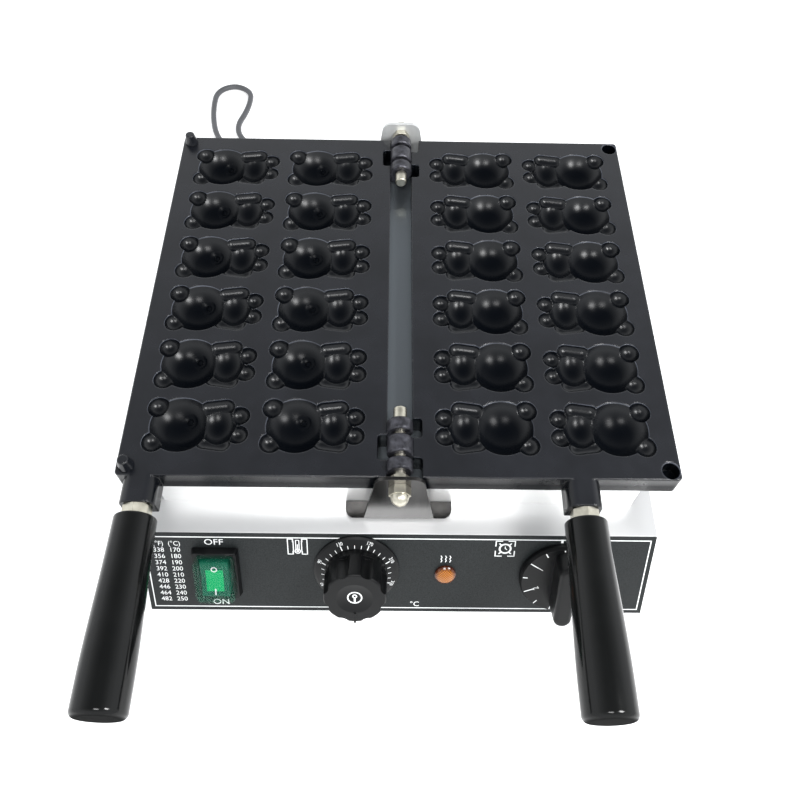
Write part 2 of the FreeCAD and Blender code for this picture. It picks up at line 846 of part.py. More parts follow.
def control_holes(depth_from, depth_to):
    """The cut-outs for the switch, thermostat, lamp and timer through the sloping front."""
    span = depth_to - depth_from
    start = Vector(0, 0, depth_from)
    window = rounded_slab(switch_body_width + 2 * hole_clearance, switch_body_height + 2 * hole_clearance,
                          span, bezel_corner)
    window.translate(start)
    bush = Part.makeCylinder(bush_radius + hole_clearance, span, start)
    lamp = Part.makeCylinder(lamp_tube_radius + hole_clearance, span, start)
    screw = Part.makeCylinder(body_screw_radius + screw_clearance, span, start)
    holes = [
        on_panel(window, switch_place, switch_down),
        on_panel(bush, dial_place, dial_down),
        on_panel(lamp, lamp_place, lamp_down),
        on_panel(bush, timer_place, timer_down),
    ]
    for place, down in ((dial_place, dial_down), (timer_place, timer_down)):
        for side in (-1, 1):
            holes.append(on_panel(screw, place + side * body_screw_spacing / 2, down))
    return holes


def cover_screw_places():
    across = housing_width / 2 - housing_sheet - flange_width / 2
    middle = (panel_foot_y + back_wall) / 2
    reach = (back_wall - panel_foot_y) / 4
    sides = [Vector(side * across, middle + step * reach, housing_bottom)
             for side in (-1, 1) for step in (-1, 0, 1)]
    rear = back_wall - housing_sheet - flange_width / 2
    return sides + [Vector(side * across / 2, rear, housing_bottom) for side in (-1, 1)]


def foot_places():
    across = housing_width / 2 - foot_inset
    return [Vector(side * across, y, 0) for side in (-1, 1)
            for y in (panel_foot_y + foot_inset, back_wall - foot_inset)]


def heater_ends():
    """Where the two ends of each heating element pass down out of the deck."""
    reach = heater_pitch * (heater_legs - 1) / 2
    y = plate_y - heater_reach - heater_tail
    return [Vector(side * (heater_middle + end * reach), y, 0) for side in (-1, 1) for end in (-1, 1)]


def bulb_x():
    return -heater_middle


def capillary_y():
    return plate_y - heater_reach + heater_pitch / 4


def heater_passages(z0, z1):
    holes = [rod(heater_diameter / 2 + heater_hole_clearance, Vector(p.x, p.y, z0), Vector(p.x, p.y, z1))
             for p in heater_ends()]
    y = capillary_y()
    holes.append(rod(capillary_diameter / 2 + capillary_clearance, Vector(bulb_x(), y, z0),
                     Vector(bulb_x(), y, z1)))
    return holes


def make_housing():
    outer = housing_block(0)
    half = housing_width / 2
    rounded = [e for e in outer.Edges
               if abs(e.CenterOfMass.y - back_wall) < 0.01 and e.CenterOfMass.z > housing_bottom + 1]
    outer = outer.makeFillet(housing_bend, rounded)
    inner = housing_block(housing_sheet)
    shell = outer.cut(inner)
    ledge = housing_bottom + cover_sheet
    inside_x = half - housing_sheet
    front = panel_foot_y + housing_sheet
    rear = back_wall - housing_sheet
    frame = block(-inside_x, inside_x, front, rear, ledge, ledge + housing_sheet)
    opening = block(-inside_x + flange_width, inside_x - flange_width, front + flange_width,
                    rear - flange_width, ledge - 1, ledge + housing_sheet + 1)
    shell = shell.fuse(frame.cut(opening))
    cuts = control_holes(shell_back - 1, 1)
    cuts += heater_passages(housing_top - housing_sheet - 1, housing_top + 1)
    cuts.append(rod(gland_neck_radius + hole_clearance, Vector(gland_place, rear - 1, gland_height),
                    Vector(gland_place, back_wall + 1, gland_height)))
    for place in cover_screw_places():
        cuts.append(Part.makeCylinder(cover_screw_radius + screw_clearance, cover_screw_length * 2,
                                      place - Vector(0, 0, 1)))
    parts["housing"] = shell.cut(cuts)


def make_cover():
    half = housing_width / 2 - housing_sheet - cover_gap
    front = panel_foot_y + housing_sheet + cover_gap
    rear = back_wall - housing_sheet - cover_gap
    cover = block(-half, half, front, rear, housing_bottom, housing_bottom + cover_sheet)
    cuts = []
    slot = rounded_slab(vent_length, vent_width, cover_sheet + 2, vent_width / 2 - 0.01)
    middle = (front + rear) / 2
    for side in (-1, 1):
        for k in range(vent_count):
            one = slot.copy()
            one.translate(Vector(side * housing_width / 5,
                                 middle + (k - (vent_count - 1) / 2) * vent_pitch, housing_bottom - 1))
            cuts.append(one)
    for place in cover_screw_places():
        cuts.append(Part.makeCylinder(cover_screw_radius + screw_clearance, cover_sheet + 2,
                                      place - Vector(0, 0, 1)))
    for place in foot_places():
        cuts.append(Part.makeCylinder(foot_screw_radius + screw_clearance, cover_sheet + 2,
                                      place + Vector(0, 0, housing_bottom - 1)))
    parts["bottom_cover"] = cover.cut(cuts)
    screw = turned([
        (0, -cover_screw_head), (cover_screw_head_radius * 0.7, -cover_screw_head),
        (cover_screw_head_radius, -cover_screw_head * 0.5), (cover_screw_head_radius, 0),
        (cover_screw_radius, 0), (cover_screw_radius, cover_screw_length), (0, cover_screw_length),
    ])
    parts["cover_screws"] = solids_of([facing(screw, p, Vector(0, 0, 1)) for p in cover_screw_places()])


def make_feet():
    hole = foot_screw_radius + screw_clearance
    foot = turned([
        (foot_recess_radius, 0), (foot_bottom_radius - 1, 0), (foot_bottom_radius, 1),
        (foot_top_radius, foot_height - 1.5), (foot_top_radius - 1.5, foot_height),
        (hole, foot_height), (hole, foot_recess_depth), (foot_recess_radius, foot_recess_depth),
    ])
    nut_seat = housing_bottom + cover_sheet
    tip = nut_seat + foot_nut_thick + 1
    head = foot_recess_depth - foot_screw_head
    screw = turned([
        (0, head), (foot_screw_head_radius, head), (foot_screw_head_radius, foot_recess_depth),
        (foot_screw_radius, foot_recess_depth), (foot_screw_radius, tip), (0, tip),
    ])
    nut = chamfered_nut(foot_nut_flats, foot_nut_thick, foot_screw_radius + thread_clearance)
    nut.translate(Vector(0, 0, nut_seat))
    for name, shape in (("rubber_feet", foot), ("foot_screws", screw), ("foot_nuts", nut)):
        group = []
        for place in foot_places():
            one = shape.copy()
            one.translate(place)
            group.append(one)
        parts[name] = solids_of(group)


def make_deck():
    half_x = deck_width / 2
    half_y = deck_depth / 2
    outer = block(-half_x, half_x, plate_y - half_y, plate_y + half_y, housing_top, deck_top)
    outer = round_edges(outer, deck_corner, lambda e: e.CenterOfMass.z > housing_top + 0.1)
    inner = block(-half_x + deck_sheet, half_x - deck_sheet, plate_y - half_y + deck_sheet,
                  plate_y + half_y - deck_sheet, housing_top - 1, deck_top - deck_sheet)
    window_width = half_x - deck_rim - deck_bridge_width / 2
    window = rounded_slab(window_width, deck_depth - 2 * deck_rim, 4 * deck_sheet, window_corner)
    cuts = [inner]
    for side in (-1, 1):
        one = window.copy()
        middle = side * (deck_bridge_width / 2 + window_width / 2)
        one.translate(Vector(middle, plate_y, deck_top - 3 * deck_sheet))
        cuts.append(one)
    parts["raised_deck"] = outer.cut(cuts)


# Heating

def heater_path(side):
    axis = housing_top + insulation_thick + tray_sheet + heater_lift
    first = heater_middle - heater_pitch * (heater_legs - 1) / 2
    front = plate_y - heater_reach
    rear = plate_y + heater_reach
    end_y = front - heater_tail
    edges = []
    bend = heater_bend
    turn = heater_pitch / 2
    bulge = 1 - math.sqrt(0.5)
    last = first + heater_pitch * (heater_legs - 1)

    def point(x, y, z):
        return Vector(side * x, y, z)

    edges.append(Part.LineSegment(point(first, end_y, axis - heater_drop),
                                  point(first, end_y, axis - bend)).toShape())
    edges.append(Part.Arc(point(first, end_y, axis - bend),
                          point(first, end_y + bend * bulge, axis - bend * bulge),
                          point(first, end_y + bend, axis)).toShape())
    here = point(first, end_y + bend, axis)
    for leg in range(heater_legs):
        x = first + leg * heater_pitch
        going_back = leg % 2 == 0
        stop_y = rear if going_back else front
        if leg == heater_legs - 1:
            stop_y = end_y + bend
        stop = point(x, stop_y, axis)
        edges.append(Part.LineSegment(here, stop).toShape())
        here = stop
        if leg < heater_legs - 1:
            reach = turn if going_back else -turn
            there = point(x + heater_pitch, stop_y, axis)
            edges.append(Part.Arc(here, point(x + turn, stop_y + reach, axis), there).toShape())
            here = there
    edges.append(Part.Arc(here, point(last, end_y + bend * bulge, axis - bend * bulge),
                          point(last, end_y, axis - bend)).toShape())
    edges.append(Part.LineSegment(point(last, end_y, axis - bend),
                                  point(last, end_y, axis - heater_drop)).toShape())
    return Part.Wire(edges)


def make_heating():
    floor = housing_top + insulation_thick
    axis = floor + tray_sheet + heater_lift
    half_x = deck_width / 2 - deck_sheet - tray_gap
    half_y = deck_depth / 2 - deck_sheet - tray_gap
    y0 = plate_y - half_y
    y1 = plate_y + half_y
    board = block(-half_x, half_x, y0, y1, housing_top, floor)
    parts["insulation_board"] = board.cut(heater_passages(housing_top - 1, floor + 1))
    tray = block(-half_x, half_x, y0, y1, floor, floor + tray_height)
    hollow = block(-half_x + tray_sheet, half_x - tray_sheet, y0 + tray_sheet, y1 - tray_sheet,
                   floor + tray_sheet, floor + tray_height + 1)
    parts["reflector_tray"] = tray.cut([hollow] + heater_passages(floor - 1, floor + tray_sheet + 1))
    tube_radius = heater_diameter / 2
    for side, name in ((-1, "left_heating_element"), (1, "right_heating_element")):
        path = heater_path(side)
        parts[name] = tube(path, tube_radius)
    beads = []
    studs = []
    for p in heater_ends():
        top = Vector(p.x, p.y, axis - heater_drop)
        bead = Part.makeCylinder(bead_radius, bead_length, top, Vector(0, 0, -1))
        stud = Part.makeCylinder(terminal_radius, terminal_length, top - Vector(0, 0, bead_length),
                                 Vector(0, 0, -1))
        beads.append(bead)
        studs.append(stud)
    parts["heater_insulators"] = solids_of(beads)
    parts["heater_terminals"] = solids_of(studs)
    supports = []
    low = floor + tray_sheet
    reach = heater_pitch * (heater_legs - 1) / 2 + support_margin
    bulb_axis = low + heater_lift
    for side in (-1, 1):
        for step in (-1, 0, 1):
            y = plate_y + step * support_pitch
            strip = block(side * heater_middle - reach, side * heater_middle + reach,
                          y - support_thick / 2, y + support_thick / 2, low, axis)
            saddles = []
            for leg in range(heater_legs):
                x = side * (heater_middle + (leg - (heater_legs - 1) / 2) * heater_pitch)
                saddles.append(rod(tube_radius + saddle_clearance, Vector(x, y - support_thick, axis),
                                   Vector(x, y + support_thick, axis)))
            if side < 0:
                saddles.append(rod(bulb_diameter / 2 + saddle_clearance,
                                   Vector(bulb_x(), y - support_thick, bulb_axis),
                                   Vector(bulb_x(), y + support_thick, bulb_axis)))
            supports.append(strip.cut(saddles))
    parts["heater_supports"] = solids_of(supports)


def make_sensor():
    axis = housing_top + insulation_thick + tray_sheet + heater_lift
    x = bulb_x()
    start = plate_y - support_pitch / 10
    bulb = rod(bulb_diameter / 2, Vector(x, start, axis), Vector(x, start + bulb_length, axis))
    bulb = bulb.makeFillet(bulb_diameter / 2 - 0.6, [e for e in bulb.Edges
                                                     if e.Curve.TypeId == "Part::GeomCircle"])
    y = capillary_y()
    back = on_panel(Part.makeSphere(1.0), dial_place - thermostat_width / 4, dial_down).BoundBox.Center
    into = Vector(0, math.cos(slope), -math.sin(slope))
    entry = back + into * (thermostat_depth + housing_sheet)
    turn_in = entry + into * capillary_bend * 1.2
    points = [
        Vector(x, start + 1, axis),
        Vector(x, y, axis),
        Vector(x, y, entry.z),
        Vector(entry.x, y, entry.z),
        turn_in,
        entry,
    ]
    path, radii = bent_path(points, capillary_bend / 2)
    line = tube(path, capillary_diameter / 2)
    parts["sensor_bulb"] = bulb.fuse(line)


# Control panel and its controls

def make_panel():
    panel = block(-housing_width / 2 + panel_margin, housing_width / 2 - panel_margin,
                  -panel_length + panel_margin, -panel_margin, 0, panel_sheet)
    panel = on_panel(panel, 0, 0)
    parts["control_panel"] = panel.cut(control_holes(-1, panel_sheet + 1))


def device(width, height, depth, front):
    """A device body behind the panel with its threaded bush reaching out to the given level."""
    body = block(-width / 2, width / 2, -height / 2, height / 2, shell_back - depth, shell_back)
    body = round_edges(body, 2.0, lambda e: abs(e.tangentAt(e.FirstParameter).z) > 0.9)
    bush = Part.makeCylinder(bush_radius, front - shell_back, Vector(0, 0, shell_back))
    cuts = [Part.makeCylinder(shaft_radius + shaft_running_clearance, front - shell_back + bush_depth + 2,
                              Vector(0, 0, shell_back - bush_depth))]
    for side in (-1, 1):
        cuts.append(Part.makeCylinder(body_screw_radius + thread_clearance, body_screw_grip + 2,
                                      Vector(side * body_screw_spacing / 2, 0,
                                             shell_back - body_screw_grip - 1)))
    return body.fuse(bush).cut(cuts)


def device_screws(seat):
    tip = shell_back - body_screw_grip
    screw = turned([
        (0, tip), (body_screw_radius, tip), (body_screw_radius, seat), (body_screw_head_radius, seat),
        (body_screw_head_radius, seat + body_screw_head * 0.5),
        (body_screw_head_radius * 0.6, seat + body_screw_head), (0, seat + body_screw_head),
    ])
    screws = []
    for side in (-1, 1):
        one = screw.copy()
        one.translate(Vector(side * body_screw_spacing / 2, 0, 0))
        screws.append(one)
    return solids_of(screws)


def make_thermostat():
    seat = panel_face + dial_thick
    body = device(thermostat_width, thermostat_height, thermostat_depth, seat)
    parts["thermostat_body"] = on_panel(body, dial_place, dial_down)
    parts["thermostat_screws"] = on_panel(device_screws(seat), dial_place, dial_down)
    hole = bush_radius + hole_clearance
    dial = turned([
        (hole, panel_face), (dial_radius, panel_face), (dial_radius, panel_face + dial_edge),
        (dial_radius - dial_edge, panel_face + dial_edge * 1.6), (knob_radius, seat), (hole, seat),
    ])
    cuts = [Part.makeCylinder(body_screw_radius + screw_clearance, dial_thick + 2,
                              Vector(side * body_screw_spacing / 2, 0, panel_face - 1))
            for side in (-1, 1)]
    parts["temperature_dial"] = on_panel(dial.cut(cuts), dial_place, dial_down)
    base = seat + knob_gap
    top = panel_face + knob_height
    grip = turned([
        (0, base), (knob_radius, base), (knob_radius, base + knob_collar),
        (knob_radius - 0.8, top), (0, top),
    ])
    grip = round_edges(grip, knob_round, lambda e: abs(e.CenterOfMass.z - top) < 0.01
                       and e.Curve.TypeId == "Part::GeomCircle")
    flutes = []
    for k in range(knob_lobes):
        angle = math.radians(360 / knob_lobes * (k + 0.5) - 90)
        away = knob_radius + knob_flute_radius - knob_flute_bite
        flutes.append(Part.makeCylinder(knob_flute_radius, knob_height,
                                        Vector(away * math.cos(angle), away * math.sin(angle),
                                               base + knob_collar)))
    dish_ball = (knob_dish_radius ** 2 + knob_dish_depth ** 2) / (2 * knob_dish_depth)
    dish = Part.makeSphere(dish_ball, Vector(0, 0, top + dish_ball - knob_dish_depth))
    roof = top - knob_dish_depth - knob_wall
    hollow = turned([
        (knob_hub_radius, base - 1), (knob_radius - knob_flute_bite - knob_wall, base - 1),
        (knob_radius - knob_flute_bite - knob_wall, roof), (knob_hub_radius, roof),
    ])
    hub_relief = Part.makeCylinder(knob_hub_radius + 1, body_screw_head + knob_gap, Vector(0, 0, base - 1))
    shaft_end = roof - knob_wall
    bore = Part.makeCylinder(shaft_radius + shaft_fit_clearance, shaft_end - base + 1.0,
                             Vector(0, 0, base - 0.5))
    knob = grip.cut(flutes + [dish, hollow, hub_relief, bore])
    ridge = block(-pointer_width / 2, pointer_width / 2, -knob_radius + 1, -knob_dish_radius,
                  top - 1, top + pointer_rise)
    knob = knob.fuse(ridge)
    parts["temperature_knob"] = on_panel(knob, dial_place, dial_down)
    shaft = Part.makeCylinder(shaft_radius, shaft_end - shell_back + bush_depth - 1,
                              Vector(0, 0, shell_back - bush_depth + 1))
    parts["thermostat_shaft"] = on_panel(shaft, dial_place, dial_down)


def make_timer():
    seat = panel_face
    body = device(timer_width, timer_height, timer_depth, panel_face + 2)
    parts["timer_body"] = on_panel(body, timer_place, timer_down)
    parts["timer_screws"] = on_panel(device_screws(seat), timer_place, timer_down)
    base = panel_face + knob_gap
    disc_top = base + timer_disc_thick
    disc = turned([
        (0, base), (timer_disc_radius, base), (timer_disc_radius, disc_top - timer_disc_edge * 2),
        (timer_disc_radius - timer_disc_edge, disc_top), (0, disc_top),
    ])
    top = panel_face + timer_bar_height
    bar = rounded_slab(timer_bar_width, timer_bar_length, top - disc_top + 1, timer_bar_width / 2 - 0.1)
    bar.translate(Vector(0, 0, disc_top - 1))
    bar = round_edges(bar, timer_bar_round, lambda e: abs(e.CenterOfMass.z - top) < 0.01)
    relief = turned([
        (0, base - 1), (timer_disc_radius - knob_wall, base - 1),
        (timer_disc_radius - knob_wall, base + body_screw_head + knob_gap - 0.5),
        (0, base + body_screw_head + knob_gap - 0.5),
    ])
    shaft_end = top - 2 * knob_wall
    bore = Part.makeCylinder(shaft_radius + shaft_fit_clearance, shaft_end - base + 0.5, Vector(0, 0, base))
    knob = disc.fuse(bar).cut([relief, bore])
    parts["timer_knob"] = on_panel(knob, timer_place, timer_down)
    shaft = Part.makeCylinder(shaft_radius, shaft_end - shell_back + bush_depth - 1,
                              Vector(0, 0, shell_back - bush_depth + 1))
    parts["timer_shaft"] = on_panel(shaft, timer_place, timer_down)


def make_switch():
    bezel_top = panel_face + bezel_rise
    foot = rounded_slab(bezel_width, bezel_height, 0.01, bezel_corner).Faces
    lower = [f for f in foot if f.normalAt(0, 0).z < -0.9][0].OuterWire
    brow = rounded_slab(bezel_width - 2 * bezel_draft, bezel_height - 2 * bezel_draft, 0.01,
                        bezel_corner).Faces
    upper = [f for f in brow if f.normalAt(0, 0).z < -0.9][0].OuterWire
    lower.translate(Vector(0, 0, panel_face))
    upper.translate(Vector(0, 0, bezel_top))
    frame = Part.makeLoft([lower, upper], True, True)
    bottom = shell_back - switch_body_depth
    body = rounded_slab(switch_body_width, switch_body_height, panel_face + 1 - bottom, bezel_corner)
    body.translate(Vector(0, 0, bottom))
    inner_width = switch_body_width - 2 * switch_wall
    inner_height = switch_body_height - 2 * switch_wall
    hollow = block(-inner_width / 2, inner_width / 2, -inner_height / 2, inner_height / 2,
                   bottom + switch_wall * 2, bezel_top + 1)
    pivot = panel_face + rocker_pivot_height
    reach = rocker_width / 2 + trunnion_length + shaft_running_clearance
    seat = rod(trunnion_radius + shaft_running_clearance, Vector(-reach, 0, pivot), Vector(reach, 0, pivot))
    blades = []
    for step in (-1, 0, 1):
        blade = block(-3.2, 3.2, -0.4, 0.4, bottom - 8, bottom)
        blade.translate(Vector(0, step * switch_body_height / 4, 0))
        blades.append(blade)
    shell = frame.fuse([body] + blades).cut([hollow, seat])
    parts["switch_housing"] = on_panel(shell, switch_place, switch_down)
    boot = rounded_slab(boot_width, boot_height, boot_rise, boot_corner)
    boot = round_edges(boot, boot_round, lambda e: abs(e.CenterOfMass.z - boot_rise) < 0.01)
    room = rounded_slab(boot_width - 2 * boot_wall, boot_height - 2 * boot_wall, boot_rise - boot_wall,
                        boot_corner - boot_wall)
    room = round_edges(room, boot_round - boot_wall,
                       lambda e: abs(e.CenterOfMass.z - boot_rise + boot_wall) < 0.01)
    boot = boot.cut(room)
    boot.translate(Vector(0, 0, bezel_top))
    parts["switch_boot"] = on_panel(boot, switch_place, switch_down)
    half = rocker_length / 2
    crest = panel_face + rocker_pivot_height + rocker_rise
    keel = pivot - rocker_depth
    corner = [
        Vector(-rocker_width / 2, -half, pivot),
        Vector(-rocker_width / 2, -half, crest),
        Vector(-rocker_width / 2, 0, crest - rocker_dip),
        Vector(-rocker_width / 2, half, crest),
        Vector(-rocker_width / 2, half, pivot),
        Vector(-rocker_width / 2, half / 3, keel),
        Vector(-rocker_width / 2, -half / 3, keel),
    ]
    rocker = prism(corner, Vector(rocker_width, 0, 0))
    rocker = round_edges(rocker, 1.0, lambda e: e.CenterOfMass.z > crest - rocker_dip / 2 - 0.1
                         and abs(e.CenterOfMass.y) > half / 3)
    arm = rocker_width / 2 + trunnion_length
    rocker = rocker.fuse(rod(trunnion_radius, Vector(-arm, 0, pivot), Vector(arm, 0, pivot)))
    rocker.rotate(Vector(0, 0, pivot), Vector(1, 0, 0), -rocker_tilt)
    parts["switch_rocker"] = on_panel(rocker, switch_place, switch_down)


def make_lamp():
    lens_ball = (lamp_lens_radius ** 2 + (lamp_lens_rise - lamp_lens_edge) ** 2) \
        / (2 * (lamp_lens_rise - lamp_lens_edge))
    rim = Part.makeCylinder(lamp_lens_radius, lamp_lens_rise, Vector(0, 0, panel_face))
    dome = Part.makeSphere(lens_ball, Vector(0, 0, panel_face + lamp_lens_rise - lens_ball))
    parts["lamp_lens"] = on_panel(rim.common(dome), lamp_place, lamp_down)
    tube_body = Part.makeCylinder(lamp_tube_radius, lamp_tube_length,
                                  Vector(0, 0, panel_face - lamp_tube_length))
    parts["lamp_body"] = on_panel(tube_body, lamp_place, lamp_down)
    nut = chamfered_nut(lamp_nut_flats, lamp_nut_thick, lamp_tube_radius + thread_clearance)
    nut.translate(Vector(0, 0, shell_back - lamp_nut_thick))
    parts["lamp_nut"] = on_panel(nut, lamp_place, lamp_down)


def make_terminal_block():
    floor = housing_bottom + cover_sheet
    middle = Vector(gland_place + terminal_block_length / 2, back_wall - terminal_inset, floor)
    body = block(-terminal_block_length / 2, terminal_block_length / 2, -terminal_block_width / 2,
                 terminal_block_width / 2, 0, terminal_block_height)
    step = terminal_block_length / terminal_ways
    cuts = []
    for k in range(terminal_ways):
        x = (k - (terminal_ways - 1) / 2) * step
        cuts.append(rod(terminal_hole_radius, Vector(x, -terminal_block_width, terminal_block_height * 0.45),
                        Vector(x, terminal_block_width, terminal_block_height * 0.45)))
    for k in range(terminal_ways - 1):
        x = (k - (terminal_ways - 2) / 2) * step
        cuts.append(block(x - 0.8, x + 0.8, -terminal_block_width, terminal_block_width,
                          terminal_block_height * 0.75, terminal_block_height + 1))
    body = body.cut(cuts)
    body.translate(middle)
    parts["terminal_block"] = body


# Mains cord

def make_gland():
    back = Vector(0, 1, 0)
    tip = gland_flange + gland_length
    profile = [
        (0, -housing_sheet - gland_nut_thick - 4), (gland_neck_radius, -housing_sheet - gland_nut_thick - 4),
        (gland_neck_radius, 0), (gland_flange_radius, 0), (gland_flange_radius, gland_flange - 1),
        (gland_flange_radius - 1, gland_flange), (gland_taper_radius, gland_flange),
    ]
    step = gland_length / (2 * gland_grooves + 1)
    for k in range(2 * gland_grooves):
        height = gland_flange + (k + 1) * step
        outer = gland_taper_radius + (gland_tip_radius - gland_taper_radius) * (k + 1) * step / gland_length
        inner = outer - gland_groove_depth
        profile += [(outer, height), (inner, height)] if k % 2 == 0 else [(inner, height), (outer, height)]
    profile += [(gland_tip_radius, tip), (0, tip)]
    seat = Vector(gland_place, back_wall, gland_height)
    parts["cord_strain_relief"] = facing(turned(profile), seat, back)
    nut = chamfered_nut(gland_nut_flats, gland_nut_thick, gland_neck_radius + thread_clearance)
    parts["strain_relief_nut"] = facing(nut, seat - back * (housing_sheet + gland_nut_thick), back)


def biarc(start, leaving, end, arriving):
    """Two arcs from start to end that keep both tangents."""
    gap = end - start
    both = leaving + arriving
    bend = 2 * (1 - leaving.dot(arriving))
    if abs(bend) < 1e-9:
        reach = gap.dot(gap) / (4 * gap.dot(arriving))
    else:
        lean = gap.dot(both)
        reach = (-lean + math.sqrt(lean ** 2 + bend * gap.dot(gap))) / bend
    first_corner = start + leaving * reach
    second_corner = end - arriving * reach
    middle = (first_corner + second_corner) * 0.5
    first, first_radius = arc_through(start, first_corner, middle)
    second, second_radius = arc_through(middle, second_corner, end)
    return [first, second], min(first_radius, second_radius)


def coil_point(turn):
    """Place on the coil after so many turns: in on the lower layer, up, and out on the upper one."""
    climb_start = coil_turns_in - 0.25
    climb_end = coil_turns_in + 0.25
    inwards = coil_turns_in - abs(turn - coil_turns_in)
    share = min(1.0, max(0.0, (turn - climb_start) / (climb_end - climb_start)))
    lift = coil_layer_pitch * (3 * share ** 2 - 2 * share ** 3)
    radius = coil_outer_radius - coil_turn_pitch * inwards
    angle = math.radians(coil_start_angle) - 2 * math.pi * turn
    return coil_centre + Vector(radius * math.cos(angle), radius * math.sin(angle), lift)


def coil_tangent(turn):
    step = 1e-4
    return (coil_point(turn + step) - coil_point(turn - step)).normalize()


def coil_path():
    """Biarcs of a quarter turn, with straight ends one cord diameter long."""
    turns = coil_turns_in + coil_turns_out
    pieces = int(round(turns * 4 + 0.5))
    marks = [turns * k / pieces for k in range(pieces + 1)]
    points = [coil_point(m) for m in marks]
    tangents = [coil_tangent(m) for m in marks]
    tangents[0] = Vector(1, 0, 0)
    edges = []
    tightest = coil_outer_radius
    lead_in = points[0]
    points[0] = points[0] + tangents[0] * cord_diameter
    edges.append(Part.LineSegment(lead_in, points[0]).toShape())
    for k in range(pieces):
        arcs, radius = biarc(points[k], tangents[k], points[k + 1], tangents[k + 1])
        edges += arcs
        tightest = min(tightest, radius)
    end = points[-1] + tangents[-1] * cord_diameter
    edges.append(Part.LineSegment(points[-1], end).toShape())
    return Part.Wire(edges), end, tangents[-1], tightest


def least_self_gap(path):
    """Least distance between stretches of the coil that are more than half a turn apart."""
    marks = path.discretize(Distance=2.0)
    apart = int(math.pi * (coil_outer_radius - coil_turn_pitch * coil_turns_in) / 2.0)
    least = min((a - b).Length for i, a in enumerate(marks) for b in marks[i + apart:])
    return least - cord_diameter


def cord_route():
    """Points of the cord from its strain relief, round the loop on the table, to the coil."""
    steps = [Vector(gland_tip.x + s.x, gland_tip.y + s.y, s.z) for s in cord_steps]
    return [gland_tip, gland_tip + Vector(0, cord_exit, 0), *steps,
            coil_start - Vector(coil_lead_in, 0, 0), coil_start]


def make_cord():
    path, radii = bent_path(cord_route())
    print("cord bend radii", [round(r, 1) for r in radii])
    run = tube(path, cord_radius)
    tube_report("cord run", run, path, cord_radius)
    parts["power_cord"] = run
    coil, coil_end, heading, tightest = coil_path()
    wound = tube(coil, cord_radius)
    tube_report("cord coil", wound, coil, cord_radius)
    print("coil least gap", round(least_self_gap(coil), 2), "tightest bend", round(tightest, 1))
    parts["cord_coil"] = wound
    make_tie()
    flat = Vector(heading.x, heading.y, 0).normalize()
    neck = coil_end + flat * plug_lead
    neck.z = plug_radius - plug_flat + plug_lie_clearance
    lead, lead_radii = bent_path([coil_end, coil_end + flat * (plug_lead / 3),
                                  neck - flat * (plug_lead / 3), neck])
    lead_tube = tube(lead, cord_radius)
    tube_report("plug lead", lead_tube, lead, cord_radius)
    parts["plug_lead"] = lead_tube
    print("cord length in all", round(path.Length + coil.Length + lead.Length, 1))
    make_plug(neck, flat)


def make_tie():
    """A strap round the bundle of turns."""
    inner_turn = coil_outer_radius - coil_turn_pitch * coil_turns_in - cord_radius - tie_clearance
    outer_turn = coil_outer_radius + cord_radius + tie_clearance
    low = coil_centre.z - cord_radius - tie_clearance
    high = coil_centre.z + coil_layer_pitch + cord_radius + tie_clearance
    strap = block(inner_turn - tie_thick, outer_turn + tie_thick, -tie_width / 2, tie_width / 2,
                  low - tie_thick + 0.01, high + tie_thick)
    room = block(inner_turn, outer_turn, -tie_width, tie_width, low, high)
    strap = strap.cut(room)
    strap.rotate(Vector(0, 0, 0), Vector(0, 0, 1), tie_angle)
    strap.translate(Vector(coil_centre.x, coil_centre.y, 0))
    parts["cord_tie"] = strap


def make_plug(neck, heading):
    front = plug_tail + plug_front
    body = turned([
        (0, 0), (plug_neck_radius, 0), (plug_neck_radius + 1, plug_tail * 0.4),
        (plug_radius - 4, plug_tail), (plug_radius, plug_tail + 4), (plug_radius, front), (0, front),
    ])
    for side in (-1, 1):
        low = min(side * plug_radius, side * (plug_radius - plug_flat))
        body = body.cut(block(low, low + plug_flat, -plug_radius, plug_radius, -1, front + 1))
    pins = []
    for side in (-1, 1):
        pin = turned([
            (0, front), (plug_pin_radius, front), (plug_pin_radius, front + plug_pin_length - 1.5),
            (plug_pin_radius - 1, front + plug_pin_length), (0, front + plug_pin_length),
        ])
        pin.translate(Vector(0, side * plug_pin_spacing / 2, 0))
        pins.append(pin)
    angle = math.degrees(math.atan2(heading.y, heading.x))
    turn = Rotation(Vector(0, 0, 1), angle).multiply(Rotation(Vector(0, 1, 0), 90))
    for name, shape in (("plug", body), ("plug_pins", solids_of(pins))):
        parts[name] = placed(shape, Placement(neck, turn))


make_plates()
make_handle("left", -1, left_boss_place)
make_handle("right", 1, right_boss_place)
make_hinge()
make_housing()
make_cover()
make_feet()
make_deck()
make_heating()
make_sensor()
make_panel()
make_thermostat()
make_timer()
make_switch()
make_lamp()
make_terminal_block()
make_gland()
make_cord()

os.makedirs("parts", exist_ok=True)
for name, shape in parts.items():
    shape.exportStep("parts/" + name + ".step")
    print(name, "solids", len(shape.Solids), "volume", round(shape.Volume, 1), "valid", shape.isValid())
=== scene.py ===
import json
import math

import bmesh
import bpy
from mathutils import Matrix, Vector


